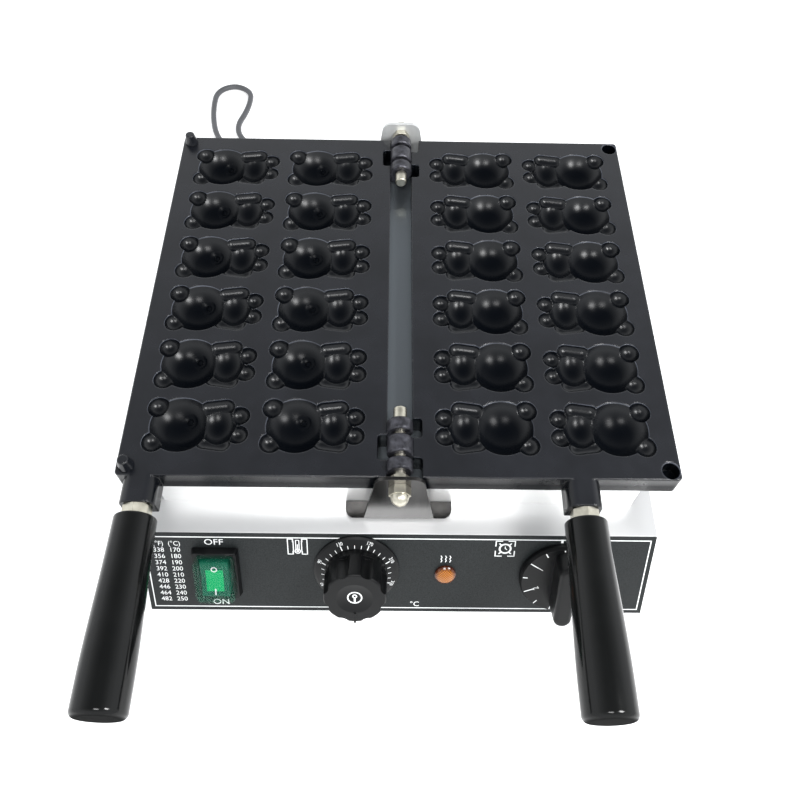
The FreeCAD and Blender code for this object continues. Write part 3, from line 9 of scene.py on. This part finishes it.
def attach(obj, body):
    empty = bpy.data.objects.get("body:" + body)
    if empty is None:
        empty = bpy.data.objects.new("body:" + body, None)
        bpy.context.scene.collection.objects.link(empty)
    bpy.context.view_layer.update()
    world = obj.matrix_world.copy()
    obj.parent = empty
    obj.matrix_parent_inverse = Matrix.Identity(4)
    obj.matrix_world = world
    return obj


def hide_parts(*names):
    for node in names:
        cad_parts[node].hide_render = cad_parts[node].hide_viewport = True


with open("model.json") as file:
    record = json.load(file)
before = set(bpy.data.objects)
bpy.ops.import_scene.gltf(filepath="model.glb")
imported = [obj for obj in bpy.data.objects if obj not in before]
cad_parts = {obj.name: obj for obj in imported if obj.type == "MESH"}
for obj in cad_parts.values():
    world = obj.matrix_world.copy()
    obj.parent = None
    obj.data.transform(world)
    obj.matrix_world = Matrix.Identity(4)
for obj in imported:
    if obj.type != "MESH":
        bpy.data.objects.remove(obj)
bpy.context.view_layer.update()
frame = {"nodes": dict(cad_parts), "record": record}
nodes = frame["nodes"]
scene = bpy.context.scene
scene.view_settings.view_transform = "Standard"

# Places taken from the part, in millimetres
MM = 0.001
PLATE_Y = 64.0
PLATE_TOP = 136.3
PLATE_FRONT = -99.5
PLATE_WIDTH = 190.0
DECK_TOP = 117.9
GRIP_END = -250.0
PANEL_TILT = math.radians(60)
PANEL = Matrix.Translation((0.0, -118.0, 81.0)) @ Matrix.Rotation(PANEL_TILT, 4, "X")
PANEL_FACE = 1.0

# Middles of the controls: across from the panel's middle and down from its top edge
ROCKER = (-132.4, 35.5)
DIAL = (-30.3, 32.2)
LAMP = (34.9, 36.0)
TIMER = (119.5, 36.5)


# The photo's camera

def make_camera():
    place = Vector((-7.11, -320.29, 606.79)) * MM
    yaw, pitch, roll = 0.02495, 1.03248, -0.03288
    forward = Vector((math.sin(yaw) * math.cos(pitch), math.cos(yaw) * math.cos(pitch), -math.sin(pitch)))
    level = Vector((math.cos(yaw), -math.sin(yaw), 0.0))
    down = forward.cross(level)
    right = level * math.cos(roll) + down * math.sin(roll)
    up = level * math.sin(roll) - down * math.cos(roll)
    data = bpy.data.cameras.new("camera")
    data.sensor_width = 36.0
    data.lens = 34.93
    data.clip_start = 0.01
    data.clip_end = 50.0
    camera = bpy.data.objects.new("camera", data)
    turn = Matrix((right, up, -forward)).transposed().to_4x4()
    camera.matrix_world = Matrix.Translation(place) @ turn
    scene.collection.objects.link(camera)
    scene.camera = camera


make_camera()


# The mains cord: its route on the table, then the put-away coil and the plug

ROUTE = [
    (-150.0, 284.0, 44.0), (-150.0, 304.0, 44.0), (-153.0, 324.0, 33.0), (-161.0, 341.0, 16.0),
    (-175.0, 355.0, 5.0), (-193.0, 367.0, 3.2), (-206.0, 384.0, 3.2), (-213.0, 409.0, 3.2),
    (-216.0, 436.0, 3.2), (-215.0, 461.5, 3.2), (-195.0, 473.0, 3.2), (-175.0, 461.5, 3.2),
    (-174.5, 442.0, 3.2), (-178.0, 423.0, 3.2), (-184.5, 404.0, 3.2), (-181.4, 386.3, 3.2),
    (-169.8, 372.5, 3.2), (-152.9, 366.3, 3.6), (-128.0, 360.0, 4.4), (-105.0, 357.0, 4.4),
]
CORD_DIAMETER = 6.0
COIL_X, COIL_Y = -85.0, 312.0
COIL_RADIUS = 45.0
COIL_PITCH = 6.7
COIL_LIFT = 4.4
TURNS_IN, TURNS_OUT = 3.0, 3.125


def coil_points(per_turn=16):
    """Control points of the coil: in on the lower layer, up half a turn, and out on the upper one."""
    swell = 1 / math.cos(math.pi / per_turn)
    points = []
    for k in range(1, int((TURNS_IN + TURNS_OUT) * per_turn)):
        turn = k / per_turn
        share = min(1.0, max(0.0, (turn - TURNS_IN + 0.25) / 0.5))
        radius = (COIL_RADIUS - COIL_PITCH * (TURNS_IN - abs(turn - TURNS_IN))) * swell
        angle = math.radians(90) - 2 * math.pi * turn
        lift = COIL_LIFT + COIL_PITCH * (3 * share ** 2 - 2 * share ** 3)
        points.append((COIL_X + radius * math.cos(angle), COIL_Y + radius * math.sin(angle), lift))
    return points


def coil_end():
    """Where the cord leaves the coil, and the plug's neck."""
    angle = math.radians(45)
    last_radius = COIL_RADIUS + COIL_PITCH * (TURNS_OUT - TURNS_IN)
    out = Vector((math.cos(angle), math.sin(angle), 0.0)) * last_radius
    heading = Vector((math.sin(angle), -math.cos(angle), 0.0))
    start = Vector((COIL_X, COIL_Y, COIL_LIFT + COIL_PITCH)) + out + heading * CORD_DIAMETER
    neck = start + heading * 30.0
    neck.z = 12.1
    return start, neck


def spline_length(curve):
    """The length of a curve that has no thickness yet."""
    shown = curve.evaluated_get(bpy.context.evaluated_depsgraph_get())
    mesh = shown.to_mesh()
    ends = [[mesh.vertices[v].co for v in edge.vertices] for edge in mesh.edges]
    total = sum((first - second).length for first, second in ends)
    shown.to_mesh_clear()
    return total


def make_cord():
    start, neck = coil_end()
    points = ROUTE + [(COIL_X, COIL_Y + COIL_RADIUS, COIL_LIFT)] + coil_points() + [tuple(start), tuple(neck)]
    data = bpy.data.curves.new("mains_cord", "CURVE")
    data.dimensions = "3D"
    data.resolution_u = 6
    spline = data.splines.new("NURBS")
    spline.points.add(len(points) - 1)
    for point, place in zip(spline.points, points):
        point.co = (place[0] * MM, place[1] * MM, place[2] * MM, 1.0)
        point.radius = CORD_DIAMETER / 2 * MM
    spline.order_u = 3
    spline.use_endpoint_u = True
    cord = bpy.data.objects.new("mains_cord", data)
    scene.collection.objects.link(cord)
    bpy.context.view_layer.update()
    length = spline_length(cord)
    data.bevel_depth = 1.0
    data.bevel_resolution = 4
    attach(cord, "base")
    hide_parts("power_cord", "cord_coil", "plug_lead")
    return cord


cord = make_cord()


# Materials

def linear(code):
    """An sRGB hex colour as linear light."""
    values = [int(code[k:k + 2], 16) / 255 for k in (1, 3, 5)]
    return tuple(v / 12.92 if v <= 0.04045 else ((v + 0.055) / 1.055) ** 2.4 for v in values) + (1.0,)


def add(tree, kind, **values):
    """Add a shader node; values name its settings or its inputs, and an input may take a socket."""
    made = tree.nodes.new(kind)
    for name, value in values.items():
        if hasattr(made, name):
            setattr(made, name, value)
            continue
        key = int(name[2:]) if name.startswith("in") else name.replace("_", " ")
        socket = made.inputs[key]
        if isinstance(value, bpy.types.NodeSocket):
            tree.links.new(value, socket)
        else:
            socket.default_value = value
    return made


def noise(tree, size, stretch=(1, 1, 1), detail=3.0):
    """Noise in object space whose features measure about size millimetres, stretched along the axes."""
    place = add(tree, "ShaderNodeTexCoord")
    scaled = add(tree, "ShaderNodeMapping", Vector=place.outputs["Object"])
    scaled.inputs["Scale"].default_value = [1000.0 / (size * s) for s in stretch]
    cloud = add(tree, "ShaderNodeTexNoise", Vector=scaled.outputs["Vector"], Scale=1.0, Detail=detail,
                Roughness=0.55)
    return cloud.outputs["Fac"]


def spread(tree, value, low, high, start=0.3, end=0.7):
    """Carry a value that runs from start to end over to low and high."""
    return add(tree, "ShaderNodeMapRange", Value=value, From_Min=start, From_Max=end, To_Min=low,
               To_Max=high).outputs["Result"]


def blend(tree, share, first, second):
    """Mix two colours by a share; each is a colour or a socket."""
    mixed = add(tree, "ShaderNodeMix", data_type="RGBA")
    tree.links.new(share, mixed.inputs[0])
    for socket, value in ((mixed.inputs[6], first), (mixed.inputs[7], second)):
        if isinstance(value, bpy.types.NodeSocket):
            tree.links.new(value, socket)
        else:
            socket.default_value = value
    return mixed.outputs[2]


def surface(name, dark, light, rough, cloud=12.0, stretch=(1, 1, 1), grain=0.0, grain_size=0.5, metal=0.0,
            edge=0.0, **inputs):
    """A material that drifts between two colours and two roughnesses, with a fine grain and soft edges."""
    made = bpy.data.materials.new(name)
    made.use_nodes = True
    tree = made.node_tree
    shader = tree.nodes["Principled BSDF"]
    drift = noise(tree, cloud, stretch)
    tree.links.new(blend(tree, spread(tree, drift, 0.0, 1.0), linear(dark), linear(light)),
                   shader.inputs["Base Color"])
    tree.links.new(spread(tree, drift, rough[0], rough[1]), shader.inputs["Roughness"])
    shader.inputs["Metallic"].default_value = metal
    for socket, value in inputs.items():
        shader.inputs[socket.replace("_", " ")].default_value = value
    normal = None
    if edge:
        normal = add(tree, "ShaderNodeBevel", samples=4, Radius=edge * MM).outputs["Normal"]
    if grain:
        bump = add(tree, "ShaderNodeBump", Strength=1.0, Distance=grain * MM,
                   Height=noise(tree, grain_size, stretch, detail=2.0))
        if normal:
            tree.links.new(normal, bump.inputs["Normal"])
        normal = bump.outputs["Normal"]
    if normal:
        tree.links.new(normal, shader.inputs["Normal"])
    return made


look = {
    "mould": surface("mould_coating", "#0b0d12", "#111319", (0.22, 0.3), cloud=30, grain=0.006,
                     grain_size=0.8, edge=1.3),
    "knuckle": surface("worn_knuckle", "#202024", "#4c4c53", (0.28, 0.42), cloud=4, grain=0.02,
                       grain_size=0.8, metal=0.6, edge=0.8),
    "stainless": surface("stainless_sheet", "#dfe0e1", "#e8e8e8", (0.3, 0.36), cloud=60, stretch=(4, 1, 1),
                         metal=0.6, edge=0.6),
    "deck": surface("deck_steel", "#e6e7e7", "#efefee", (0.3, 0.36), cloud=60, stretch=(4, 1, 1),
                    metal=0.6, edge=0.6),
    # One bracket steel in two copies: the front bracket's is darkened as painted shade, and the rear
    # bracket's is lightened as painted light.
    "bracket": surface("shaded_bracket_steel", "#333232", "#464544", (0.2, 0.26), cloud=8, stretch=(1, 1, 12),
                       metal=1.0, edge=0.6),
    "bright": surface("lit_bracket_steel", "#c6c8c8", "#d6d7d6", (0.3, 0.36), cloud=8, stretch=(1, 1, 12),
                      metal=0.4, edge=0.6),
    "zinc": surface("zinc_plate", "#b5b1a2", "#ccc8ba", (0.28, 0.4), cloud=4, metal=1.0, edge=0.4),
    "grip": surface("black_grip", "#070808", "#0b0c0c", (0.1, 0.16), cloud=25, grain=0.004, grain_size=3.0,
                    edge=0.5, Specular_IOR_Level=0.26),
    "panel": surface("panel_film", "#0b0e0f", "#242829", (0.35, 0.55), cloud=0.9, grain=0.1, grain_size=0.9,
                     Specular_IOR_Level=0.22),
    "knob": surface("black_knob", "#060708", "#0b0c0d", (0.3, 0.4), cloud=15, grain=0.01, grain_size=0.4,
                    edge=0.5, Specular_IOR_Level=0.22),
    "green": surface("green_rocker", "#0a4a38", "#0d5a44", (0.3, 0.4), cloud=10, edge=0.5,
                     Specular_IOR_Level=0.2),
    "amber": surface("amber_lens", "#b85a10", "#c06412", (0.12, 0.2), cloud=6),
    "rubber": surface("black_rubber", "#17181a", "#1f2022", (0.55, 0.7), cloud=8),
    "fibre": surface("mineral_board", "#b8b4a8", "#cac6ba", (0.85, 0.95), cloud=6),
    "tray": surface("bright_tray", "#c4c6c8", "#d2d4d6", (0.2, 0.3), cloud=12, metal=1.0),
    "sheath": surface("heater_sheath", "#3a3634", "#4c4744", (0.4, 0.55), cloud=10, metal=0.9),
    "ceramic": surface("ceramic", "#d8d3c6", "#e4dfd3", (0.3, 0.4), cloud=8),
    "brass": surface("brass", "#a8842f", "#bd983c", (0.25, 0.4), cloud=6, metal=1.0),
    "copper": surface("copper", "#a8663f", "#ba7750", (0.3, 0.4), cloud=6, metal=1.0),
    "device": surface("device_moulding", "#2a2826", "#343230", (0.45, 0.6), cloud=10),
    "cord": surface("grey_cord", "#4a4b4d", "#55565a", (0.42, 0.55), cloud=20),
    "strap": surface("black_strap", "#141416", "#1c1c1e", (0.4, 0.5), cloud=8),
    "print": surface("white_print", "#e4e6e6", "#eef0f0", (0.5, 0.6), cloud=10),
}


def clear_cover():
    """A thin clear skin that tints what it covers."""
    made = surface("clear_boot", "#0c5742", "#0f6149", (0.08, 0.14), cloud=15)
    made.node_tree.nodes["Principled BSDF"].inputs["Alpha"].default_value = 0.14
    return made


look["clear"] = clear_cover()


def calc(tree, operation, first, second=0.0):
    return add(tree, "ShaderNodeMath", operation=operation, in0=first, in1=second).outputs[0]


def times(tree, first, second):
    return calc(tree, "MULTIPLY", first, second)


def parts_of(tree, output="Object"):
    """The X, Y and Z sockets of a texture coordinate."""
    place = add(tree, "ShaderNodeTexCoord")
    return add(tree, "ShaderNodeSeparateXYZ", Vector=place.outputs[output]).outputs


def tint(tree, share, code):
    """Blend a material's base colour towards another by a share."""
    base = tree.nodes["Principled BSDF"].inputs["Base Color"]
    tree.links.new(blend(tree, share, base.links[0].from_socket, linear(code)), base)


def on_control(tree, middle):
    """Sockets with the place on a control, in millimetres right and up from its middle on the panel."""
    place = add(tree, "ShaderNodeTexCoord")
    centre = PANEL @ Vector((middle[0], -middle[1], 0.0)) * MM
    local = add(tree, "ShaderNodeMapping", vector_type="TEXTURE", Vector=place.outputs["Object"],
                Location=centre, Rotation=(PANEL_TILT, 0.0, 0.0), Scale=(MM, MM, MM))
    split = add(tree, "ShaderNodeSeparateXYZ", Vector=local.outputs["Vector"])
    return split.outputs["X"], split.outputs["Y"]


def near(tree, value, middle, half):
    """One where a value is within half of the middle, zero elsewhere."""
    return calc(tree, "LESS_THAN", calc(tree, "ABSOLUTE", calc(tree, "SUBTRACT", value, middle)), half)


def inside(tree, x, y, middle, half_width, half_height):
    """One within a rectangle about this middle, zero outside it."""
    return times(tree, near(tree, x, middle[0], half_width), near(tree, y, middle[1], half_height))


def radius_from(tree, x, y, middle):
    off_x = calc(tree, "SUBTRACT", x, middle[0])
    off_y = calc(tree, "SUBTRACT", y, middle[1])
    return calc(tree, "SQRT", calc(tree, "ADD", times(tree, off_x, off_x), times(tree, off_y, off_y)))


def mark_rocker(made):
    """A lit window in the rocker, with a white ring above and a white bar below."""
    tree = made.node_tree
    shader = tree.nodes["Principled BSDF"]
    x, y = on_control(tree, ROCKER)
    window = inside(tree, x, y, (0.0, -0.5), 6.3, 9.0)
    ring_mark = near(tree, radius_from(tree, x, y, (0.0, 9.0)), 1.9, 0.42)
    white = calc(tree, "MAXIMUM", ring_mark, inside(tree, x, y, (0.0, -10.0), 0.5, 2.6))
    tint(tree, window, "#0a9a5c")
    tint(tree, white, "#f0f4f2")
    shader.inputs["Emission Color"].default_value = linear("#08b868")
    glow = times(tree, calc(tree, "SUBTRACT", window, white), 0.28)
    tree.links.new(glow, shader.inputs["Emission Strength"])


def ridges(tree, value):
    return calc(tree, "ABSOLUTE", calc(tree, "SINE", times(tree, value, 1.7)))


def mark_lens(made):
    """A grid of small lenses in the lamp, dark towards its rim."""
    tree = made.node_tree
    shader = tree.nodes["Principled BSDF"]
    x, y = on_control(tree, LAMP)
    cells = times(tree, ridges(tree, calc(tree, "ADD", x, y)), ridges(tree, calc(tree, "SUBTRACT", x, y)))
    body = blend(tree, cells, linear("#6a2c05"), linear("#c07c22"))
    tree.links.new(body, shader.inputs["Base Color"])
    tint(tree, spread(tree, radius_from(tree, x, y, (0.0, 0.0)), 0.0, 1.0, 5.2, 7.4), "#431a04")


def stain_top(made, height, code):
    """Darken a sheet above this height in millimetres: painted shade on the deck's top in the gap between the
    plates.
    """
    tree = made.node_tree
    tint(tree, spread(tree, parts_of(tree)["Z"], 0.0, 1.0, (height - 1.0) * MM, height * MM), code)


def deepen(made, height, code, shallow, deep):
    """Paint shade into the hollows: the coating is darker below this height, and less reflective the deeper
    it lies.
    """
    tree = made.node_tree
    shader = tree.nodes["Principled BSDF"]
    level = parts_of(tree)["Z"]
    share = spread(tree, level, 1.0, 0.0, (height - 1.2) * MM, height * MM)
    tint(tree, share, code)
    gloss = spread(tree, level, deep, shallow, (height - 10.0) * MM, (height - 4.0) * MM)
    outer = times(tree, calc(tree, "SUBTRACT", 1.0, share), 0.5)
    tree.links.new(calc(tree, "ADD", outer, times(tree, gloss, share)), shader.inputs["Specular IOR Level"])


def polish_rims(made, height, code):
    """Paint a highlight on the band just below the top face, where the rims of the hollows catch the light.
    """
    tree = made.node_tree
    place = parts_of(tree)
    low = spread(tree, place["Z"], 0.0, 1.0, (height - 1.0) * MM, (height - 0.5) * MM)
    high = spread(tree, place["Z"], 1.0, 0.0, (height - 0.3) * MM, (height - 0.1) * MM)
    # Noise breaks the painted rim highlight into patches.
    highlight_patches = spread(tree, noise(tree, 14.0), 0.35, 1.0)
    on_plate = calc(tree, "GREATER_THAN", place["Y"], (PLATE_FRONT + 1.0) * MM)
    tint(tree, times(tree, times(tree, low, high), times(tree, highlight_patches, on_plate)), code)


def shade_sides(made, code):
    """Paint shade onto the side and rear walls of a sheet, so they are darker than its front and top."""
    tree = made.node_tree
    facing = parts_of(tree, "Normal")
    away = calc(tree, "MAXIMUM", calc(tree, "ABSOLUTE", facing["X"]), facing["Y"])
    tint(tree, spread(tree, away, 0.0, 1.0, 0.5, 0.9), code)


def dull_end(made, end):
    """Make a grip's flat end matt, at this place along Y in millimetres."""
    tree = made.node_tree
    shader = tree.nodes["Principled BSDF"]
    share = spread(tree, parts_of(tree)["Y"], 1.0, 0.0, end * MM, (end + 1.5) * MM)
    tree.links.new(spread(tree, share, 0.26, 0.04, 0.0, 1.0), shader.inputs["Specular IOR Level"])
    smooth = shader.inputs["Roughness"].links[0].from_socket
    tree.links.new(calc(tree, "ADD", smooth, times(tree, share, 0.75)), shader.inputs["Roughness"])


mark_rocker(look["green"])
mark_lens(look["amber"])
# Painted shade: the deck's top between the plates is darkened towards #6a7075.
stain_top(look["deck"], DECK_TOP, "#6a7075")
dull_end(look["grip"], GRIP_END)
# Painted shade on the side and rear walls of the housing and the deck.
shade_sides(look["stainless"], "#aeb0b2")
shade_sides(look["deck"], "#b4b6b8")
# Painted shade: the hollows of the moulds are darkened towards #04060a.
deepen(look["mould"], PLATE_TOP - 0.2, "#04060a", 0.34, 0.06)
# Painted highlight: a lighter band, #545862, round the rims of the hollows.
polish_rims(look["mould"], PLATE_TOP, "#545862")

for entry in frame["record"]["subparts"]:
    node = nodes[entry["node"]]
    chosen = entry["material_slot"]
    # The rear bracket takes the lit copy of the steel and the front one the shaded copy: painted light and
    # painted shade.
    if "bracket" in entry["node"]:
        chosen = "bright" if "rear" in entry["node"] else "bracket"
    elif "knuckle" in entry["node"]:
        chosen = "knuckle"
    elif entry["node"] == "locating_pins":
        chosen = "mould"
    elif entry["node"] == "raised_deck":
        chosen = "deck"
    node.data.materials.clear()
    node.data.materials.append(look[chosen])
cord.data.materials.append(look["cord"])


# Printing on the panel, dial and knobs; places are across from the middle and down from the top edge

INK = 0.04
CAPITAL = 0.69


def write(bm, words, matrix, height, squeeze=1.0):
    """Add lettering of this capital height, centred on the matrix's origin, a hair thick."""
    data = bpy.data.curves.new("words", "FONT")
    data.body = words
    data.align_x = "CENTER"
    data.align_y = "CENTER"
    data.size = height / CAPITAL
    data.extrude = INK / 2
    data.resolution_u = 3
    letters = bpy.data.objects.new("words", data)
    scene.collection.objects.link(letters)
    bpy.context.view_layer.update()
    shown = letters.evaluated_get(bpy.context.evaluated_depsgraph_get())
    mesh = bpy.data.meshes.new_from_object(shown)
    mesh.transform(matrix @ Matrix.Diagonal((squeeze, 1.0, 1.0, 1.0)))
    bm.from_mesh(mesh)
    bpy.data.objects.remove(letters)
    bpy.data.meshes.remove(mesh)


def bar(bm, matrix, width, height):
    """Add a thin rectangle centred on the matrix's origin."""
    size = Matrix.Diagonal((width, height, INK, 1.0))
    bmesh.ops.create_cube(bm, size=1.0, matrix=matrix @ size)


def ring(bm, matrix, radius, width, thick=INK, segments=40):
    """Add a thin flat ring about the matrix's Z axis."""
    made = bmesh.ops.create_circle(bm, cap_ends=False, segments=segments, radius=radius - width / 2)
    inner = made["verts"]
    rim = list({e for v in inner for e in v.link_edges})
    grown = bmesh.ops.extrude_edge_only(bm, edges=rim)["geom"]
    outer = [v for v in grown if isinstance(v, bmesh.types.BMVert)]
    scale = (radius + width / 2) / (radius - width / 2)
    bmesh.ops.scale(bm, vec=(scale, scale, 1.0), verts=outer)
    faces = [f for f in grown if isinstance(f, bmesh.types.BMFace)]
    raised = bmesh.ops.extrude_face_region(bm, geom=faces)["geom"]
    top = [v for v in raised if isinstance(v, bmesh.types.BMVert)]
    bmesh.ops.translate(bm, vec=(0, 0, thick), verts=top)
    bmesh.ops.transform(bm, matrix=matrix, verts=list({v for v in inner + outer + top}))


def on_panel(across, down, turn=0.0):
    """A place just above the panel's face."""
    place = Matrix.Translation((across, -down, PANEL_FACE + 0.03))
    return PANEL @ place @ Matrix.Rotation(math.radians(turn), 4, "Z")


def finish_piece(name, bm, material, body, smooth=False):
    """Turn a bmesh in millimetres into a piece that rides on a body."""
    bmesh.ops.recalc_face_normals(bm, faces=bm.faces[:])
    bm.transform(Matrix.Scale(MM, 4))
    mesh = bpy.data.meshes.new(name)
    bm.to_mesh(mesh)
    bm.free()
    for face in mesh.polygons:
        face.use_smooth = smooth
    mesh.materials.append(material)
    made = bpy.data.objects.new(name, mesh)
    scene.collection.objects.link(made)
    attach(made, body)


def frame_lines(bm, x0, x1, s0, s1, width):
    """Four bars round the panel."""
    for s in (s0, s1):
        bar(bm, on_panel((x0 + x1) / 2, s), x1 - x0 + width, width)
    for x in (x0, x1):
        bar(bm, on_panel(x, (s0 + s1) / 2), width, s1 - s0)


def thermometer_sign(bm, x, s):
    """A thermometer between two open brackets."""
    for side in (-1, 1):
        bar(bm, on_panel(x + side * 7.0, s), 0.7, 14.4)
        bar(bm, on_panel(x + side * 3.0, s), 0.7, 10.4)
        for end in (-1, 1):
            bar(bm, on_panel(x + side * 5.2, s + end * 6.9), 4.3, 0.7)
            bar(bm, on_panel(x + side * 3.3, s + end * 5.6), 0.8, 3.2)
    bar(bm, on_panel(x - 1.2, s - 1.6), 0.6, 8.6)
    bar(bm, on_panel(x + 1.2, s - 1.6), 0.6, 8.6)
    bar(bm, on_panel(x, s - 5.8), 2.4, 0.6)
    bar(bm, on_panel(x, s + 1.0), 0.8, 6.0)
    ring(bm, on_panel(x, s + 4.2), 1.9, 0.7)
    bmesh.ops.create_circle(bm, cap_ends=True, segments=20, radius=1.0, matrix=on_panel(x, s + 4.2))


def clock_sign(bm, x, s):
    """A bell clock between the corners of a square."""
    for side in (-1, 1):
        for end in (-1, 1):
            bar(bm, on_panel(x + side * 6.9, s + end * 4.6), 0.8, 5.2)
            bar(bm, on_panel(x + side * 4.6, s + end * 6.9), 5.2, 0.8)
            bar(bm, on_panel(x + side * 3.6, s + end * 3.9, turn=side * end * 45), 1.0, 2.4)
    ring(bm, on_panel(x, s), 4.0, 1.3)
    bar(bm, on_panel(x, s - 0.9), 0.6, 2.2)
    bar(bm, on_panel(x + 0.7, s + 0.3, turn=40), 0.6, 2.0)


def heat_sign(bm, x, s):
    """Three rising waves."""
    for k in (-1, 0, 1):
        for step in range(4):
            lean = 28 if step % 2 else -28
            bar(bm, on_panel(x + k * 3.2, s + 2.0 - step * 1.5, turn=lean), 0.6, 1.8)


def make_panel_print():
    bm = bmesh.new()
    frame_lines(bm, -182.0, 182.0, 3.6, 69.9, 0.8)
    write(bm, "(°F)", on_panel(-172.6, 9.8), 4.0, 0.9)
    write(bm, "(°C)", on_panel(-161.0, 9.8), 4.0, 0.9)
    # Each row of the table has the same heat in both scales
    for row, celsius in enumerate(range(170, 260, 10)):
        down = 15.7 + row * 5.87
        write(bm, str(celsius * 9 // 5 + 32), on_panel(-172.8, down), 3.9, 0.96)
        write(bm, str(celsius), on_panel(-161.2, down), 3.9, 0.96)
    write(bm, "OFF", on_panel(-132.6, 8.3), 5.0, 1.1)
    write(bm, "ON", on_panel(-132.2, 65.4), 5.0, 1.1)
    thermometer_sign(bm, -72.6, 11.6)
    clock_sign(bm, 77.3, 11.8)
    heat_sign(bm, LAMP[0], 22.2)
    write(bm, "°C", on_panel(13.0, 66.2), 4.6)
    bar(bm, on_panel(118.0, 4.6), 1.8, 3.2)
    finish_piece("panel_print", bm, look["print"], "base")


def on_dial(radius, clockwise, lean, height, centre=DIAL):
    """A place on a round control, so many degrees clockwise from its top, leaning outwards."""
    return (PANEL @ Matrix.Translation((centre[0], -centre[1], height))
            @ Matrix.Rotation(math.radians(-clockwise), 4, "Z")
            @ Matrix.Translation((0, radius, 0)) @ Matrix.Rotation(math.radians(-lean), 4, "X"))


def make_dial_print():
    """Numbers and ticks on the sloping ring round the temperature knob."""
    bm = bmesh.new()
    fall, run = 2.44, 6.8
    top, top_radius = 6.0, 22.8
    slope = math.degrees(math.atan2(fall, run))

    def level(radius):
        return top - (radius - top_radius) * fall / run + 0.03

    for step in range(21):
        angle = -116.0 + step * 11.385
        major = step % 4 == 0
        length = 3.4 if major else 2.4
        radius = 23.2 + length / 2
        bar(bm, on_dial(radius, angle, slope, level(radius)), 0.7 if major else 0.5, length)
        if major:
            radius = 28.0
            write(bm, str(50 + step * 10), on_dial(radius, angle, slope, level(radius)), 2.7, 0.85)
    finish_piece("dial_print", bm, look["print"], "base")


def make_timer_print():
    """Ticks and minutes on the timer's disc."""
    bm = bmesh.new()
    top = 7.13
    for step in range(11):
        angle = -step * 28.0
        major = step % 2 == 0
        length = 7.0 if major else 3.6
        bar(bm, on_dial(28.4 - length / 2, angle, 0, top, TIMER), 0.8, length)
        if major:
            write(bm, str(step // 2), on_dial(19.0, angle, 0, top, TIMER), 4.2, 0.85)
    finish_piece("timer_print", bm, look["print"], "timer_control")


def make_knob_print():
    """The ring and the pointer on the knob's dished face."""
    bm = bmesh.new()
    knob_height, dish, lift = 31.0, 1.6, 0.25
    face = PANEL_FACE + knob_height - dish
    base = PANEL @ Matrix.Translation((DIAL[0], -DIAL[1], face + lift))
    ring(bm, base, 4.9, 1.0)
    ring(bm, base @ Matrix.Translation((0, 1.3, 0)), 1.3, 0.9, segments=20)
    bar(bm, base @ Matrix.Translation((0, -2.2, 0)), 1.3, 4.6)
    finish_piece("knob_print", bm, look["print"], "temperature_control")


def make_noses():
    """A small ring in the muzzle of each bear in the left plate."""
    bm = bmesh.new()
    from_edge, column_step, row_step = 38.3, 80.0, 50.4
    depth = 12.35
    lean = Matrix.Rotation(math.radians(20), 4, "X")
    for column in range(2):
        for row in range(6):
            x = -(PLATE_WIDTH - from_edge - column_step * column) + 3.8
            y = PLATE_Y + 1.2 + row_step * (row - 2.5) + 8.2
            place = Matrix.Translation((x, y, PLATE_TOP - depth)) @ lean
            ring(bm, place, 1.9, 0.7, thick=0.35, segments=24)
    finish_piece("muzzle_rings", bm, look["mould"], "left_mould", smooth=True)


make_noses()
make_panel_print()
make_dial_print()
make_timer_print()
make_knob_print()


# Stage and light

def make_stage():
    floor_mesh = bpy.data.meshes.new("floor")
    bm = bmesh.new()
    bmesh.ops.create_grid(bm, x_segments=1, y_segments=1, size=1.6)
    bm.to_mesh(floor_mesh)
    bm.free()
    floor = bpy.data.objects.new("floor", floor_mesh)
    scene.collection.objects.link(floor)
    made = bpy.data.materials.new("floor_white")
    made.use_nodes = True
    tree = made.node_tree
    shader = tree.nodes["Principled BSDF"]
    shader.inputs["Roughness"].default_value = 0.8
    drift = spread(tree, noise(tree, 300), 0.0, 1.0)
    tree.links.new(blend(tree, drift, linear("#fafafa"), linear("#ffffff")), shader.inputs["Base Color"])
    shader.inputs["Emission Color"].default_value = (1, 1, 1, 1)
    shader.inputs["Emission Strength"].default_value = 0.35
    floor_mesh.materials.append(made)


def area_light(name, place, target, size, power):
    data = bpy.data.lights.new(name, "AREA")
    data.shape = "RECTANGLE"
    data.size, data.size_y = size
    data.energy = power
    light = bpy.data.objects.new(name, data)
    light.location = place
    light.rotation_mode = "QUATERNION"
    light.rotation_quaternion = (Vector(target) - Vector(place)).to_track_quat("-Z", "Y")
    scene.collection.objects.link(light)


def make_light():
    world = bpy.data.worlds.new("room")
    scene.world = world
    world.use_nodes = True
    tree = world.node_tree
    tree.nodes.clear()
    path = add(tree, "ShaderNodeLightPath")
    fading = spread(tree, parts_of(tree, "Generated")["Z"], 1.45, 0.38, 0.45, 0.95)
    room = add(tree, "ShaderNodeBackground", Color=(0.96, 0.98, 1.0, 1.0), Strength=fading)
    white = add(tree, "ShaderNodeBackground", Color=(1, 1, 1, 1), Strength=1.0)
    chosen = add(tree, "ShaderNodeMixShader", in0=path.outputs["Is Camera Ray"], in1=room.outputs[0],
                 in2=white.outputs[0])
    add(tree, "ShaderNodeOutputWorld", Surface=chosen.outputs[0])
    target = (0.0, 0.05, 0.1)
    area_light("window", (0.55, -0.35, 0.85), target, (0.25, 0.25), 8.0)
    area_light("ceiling", (-0.05, -0.55, 1.05), target, (0.3, 0.2), 4.5)


make_stage()
make_light()
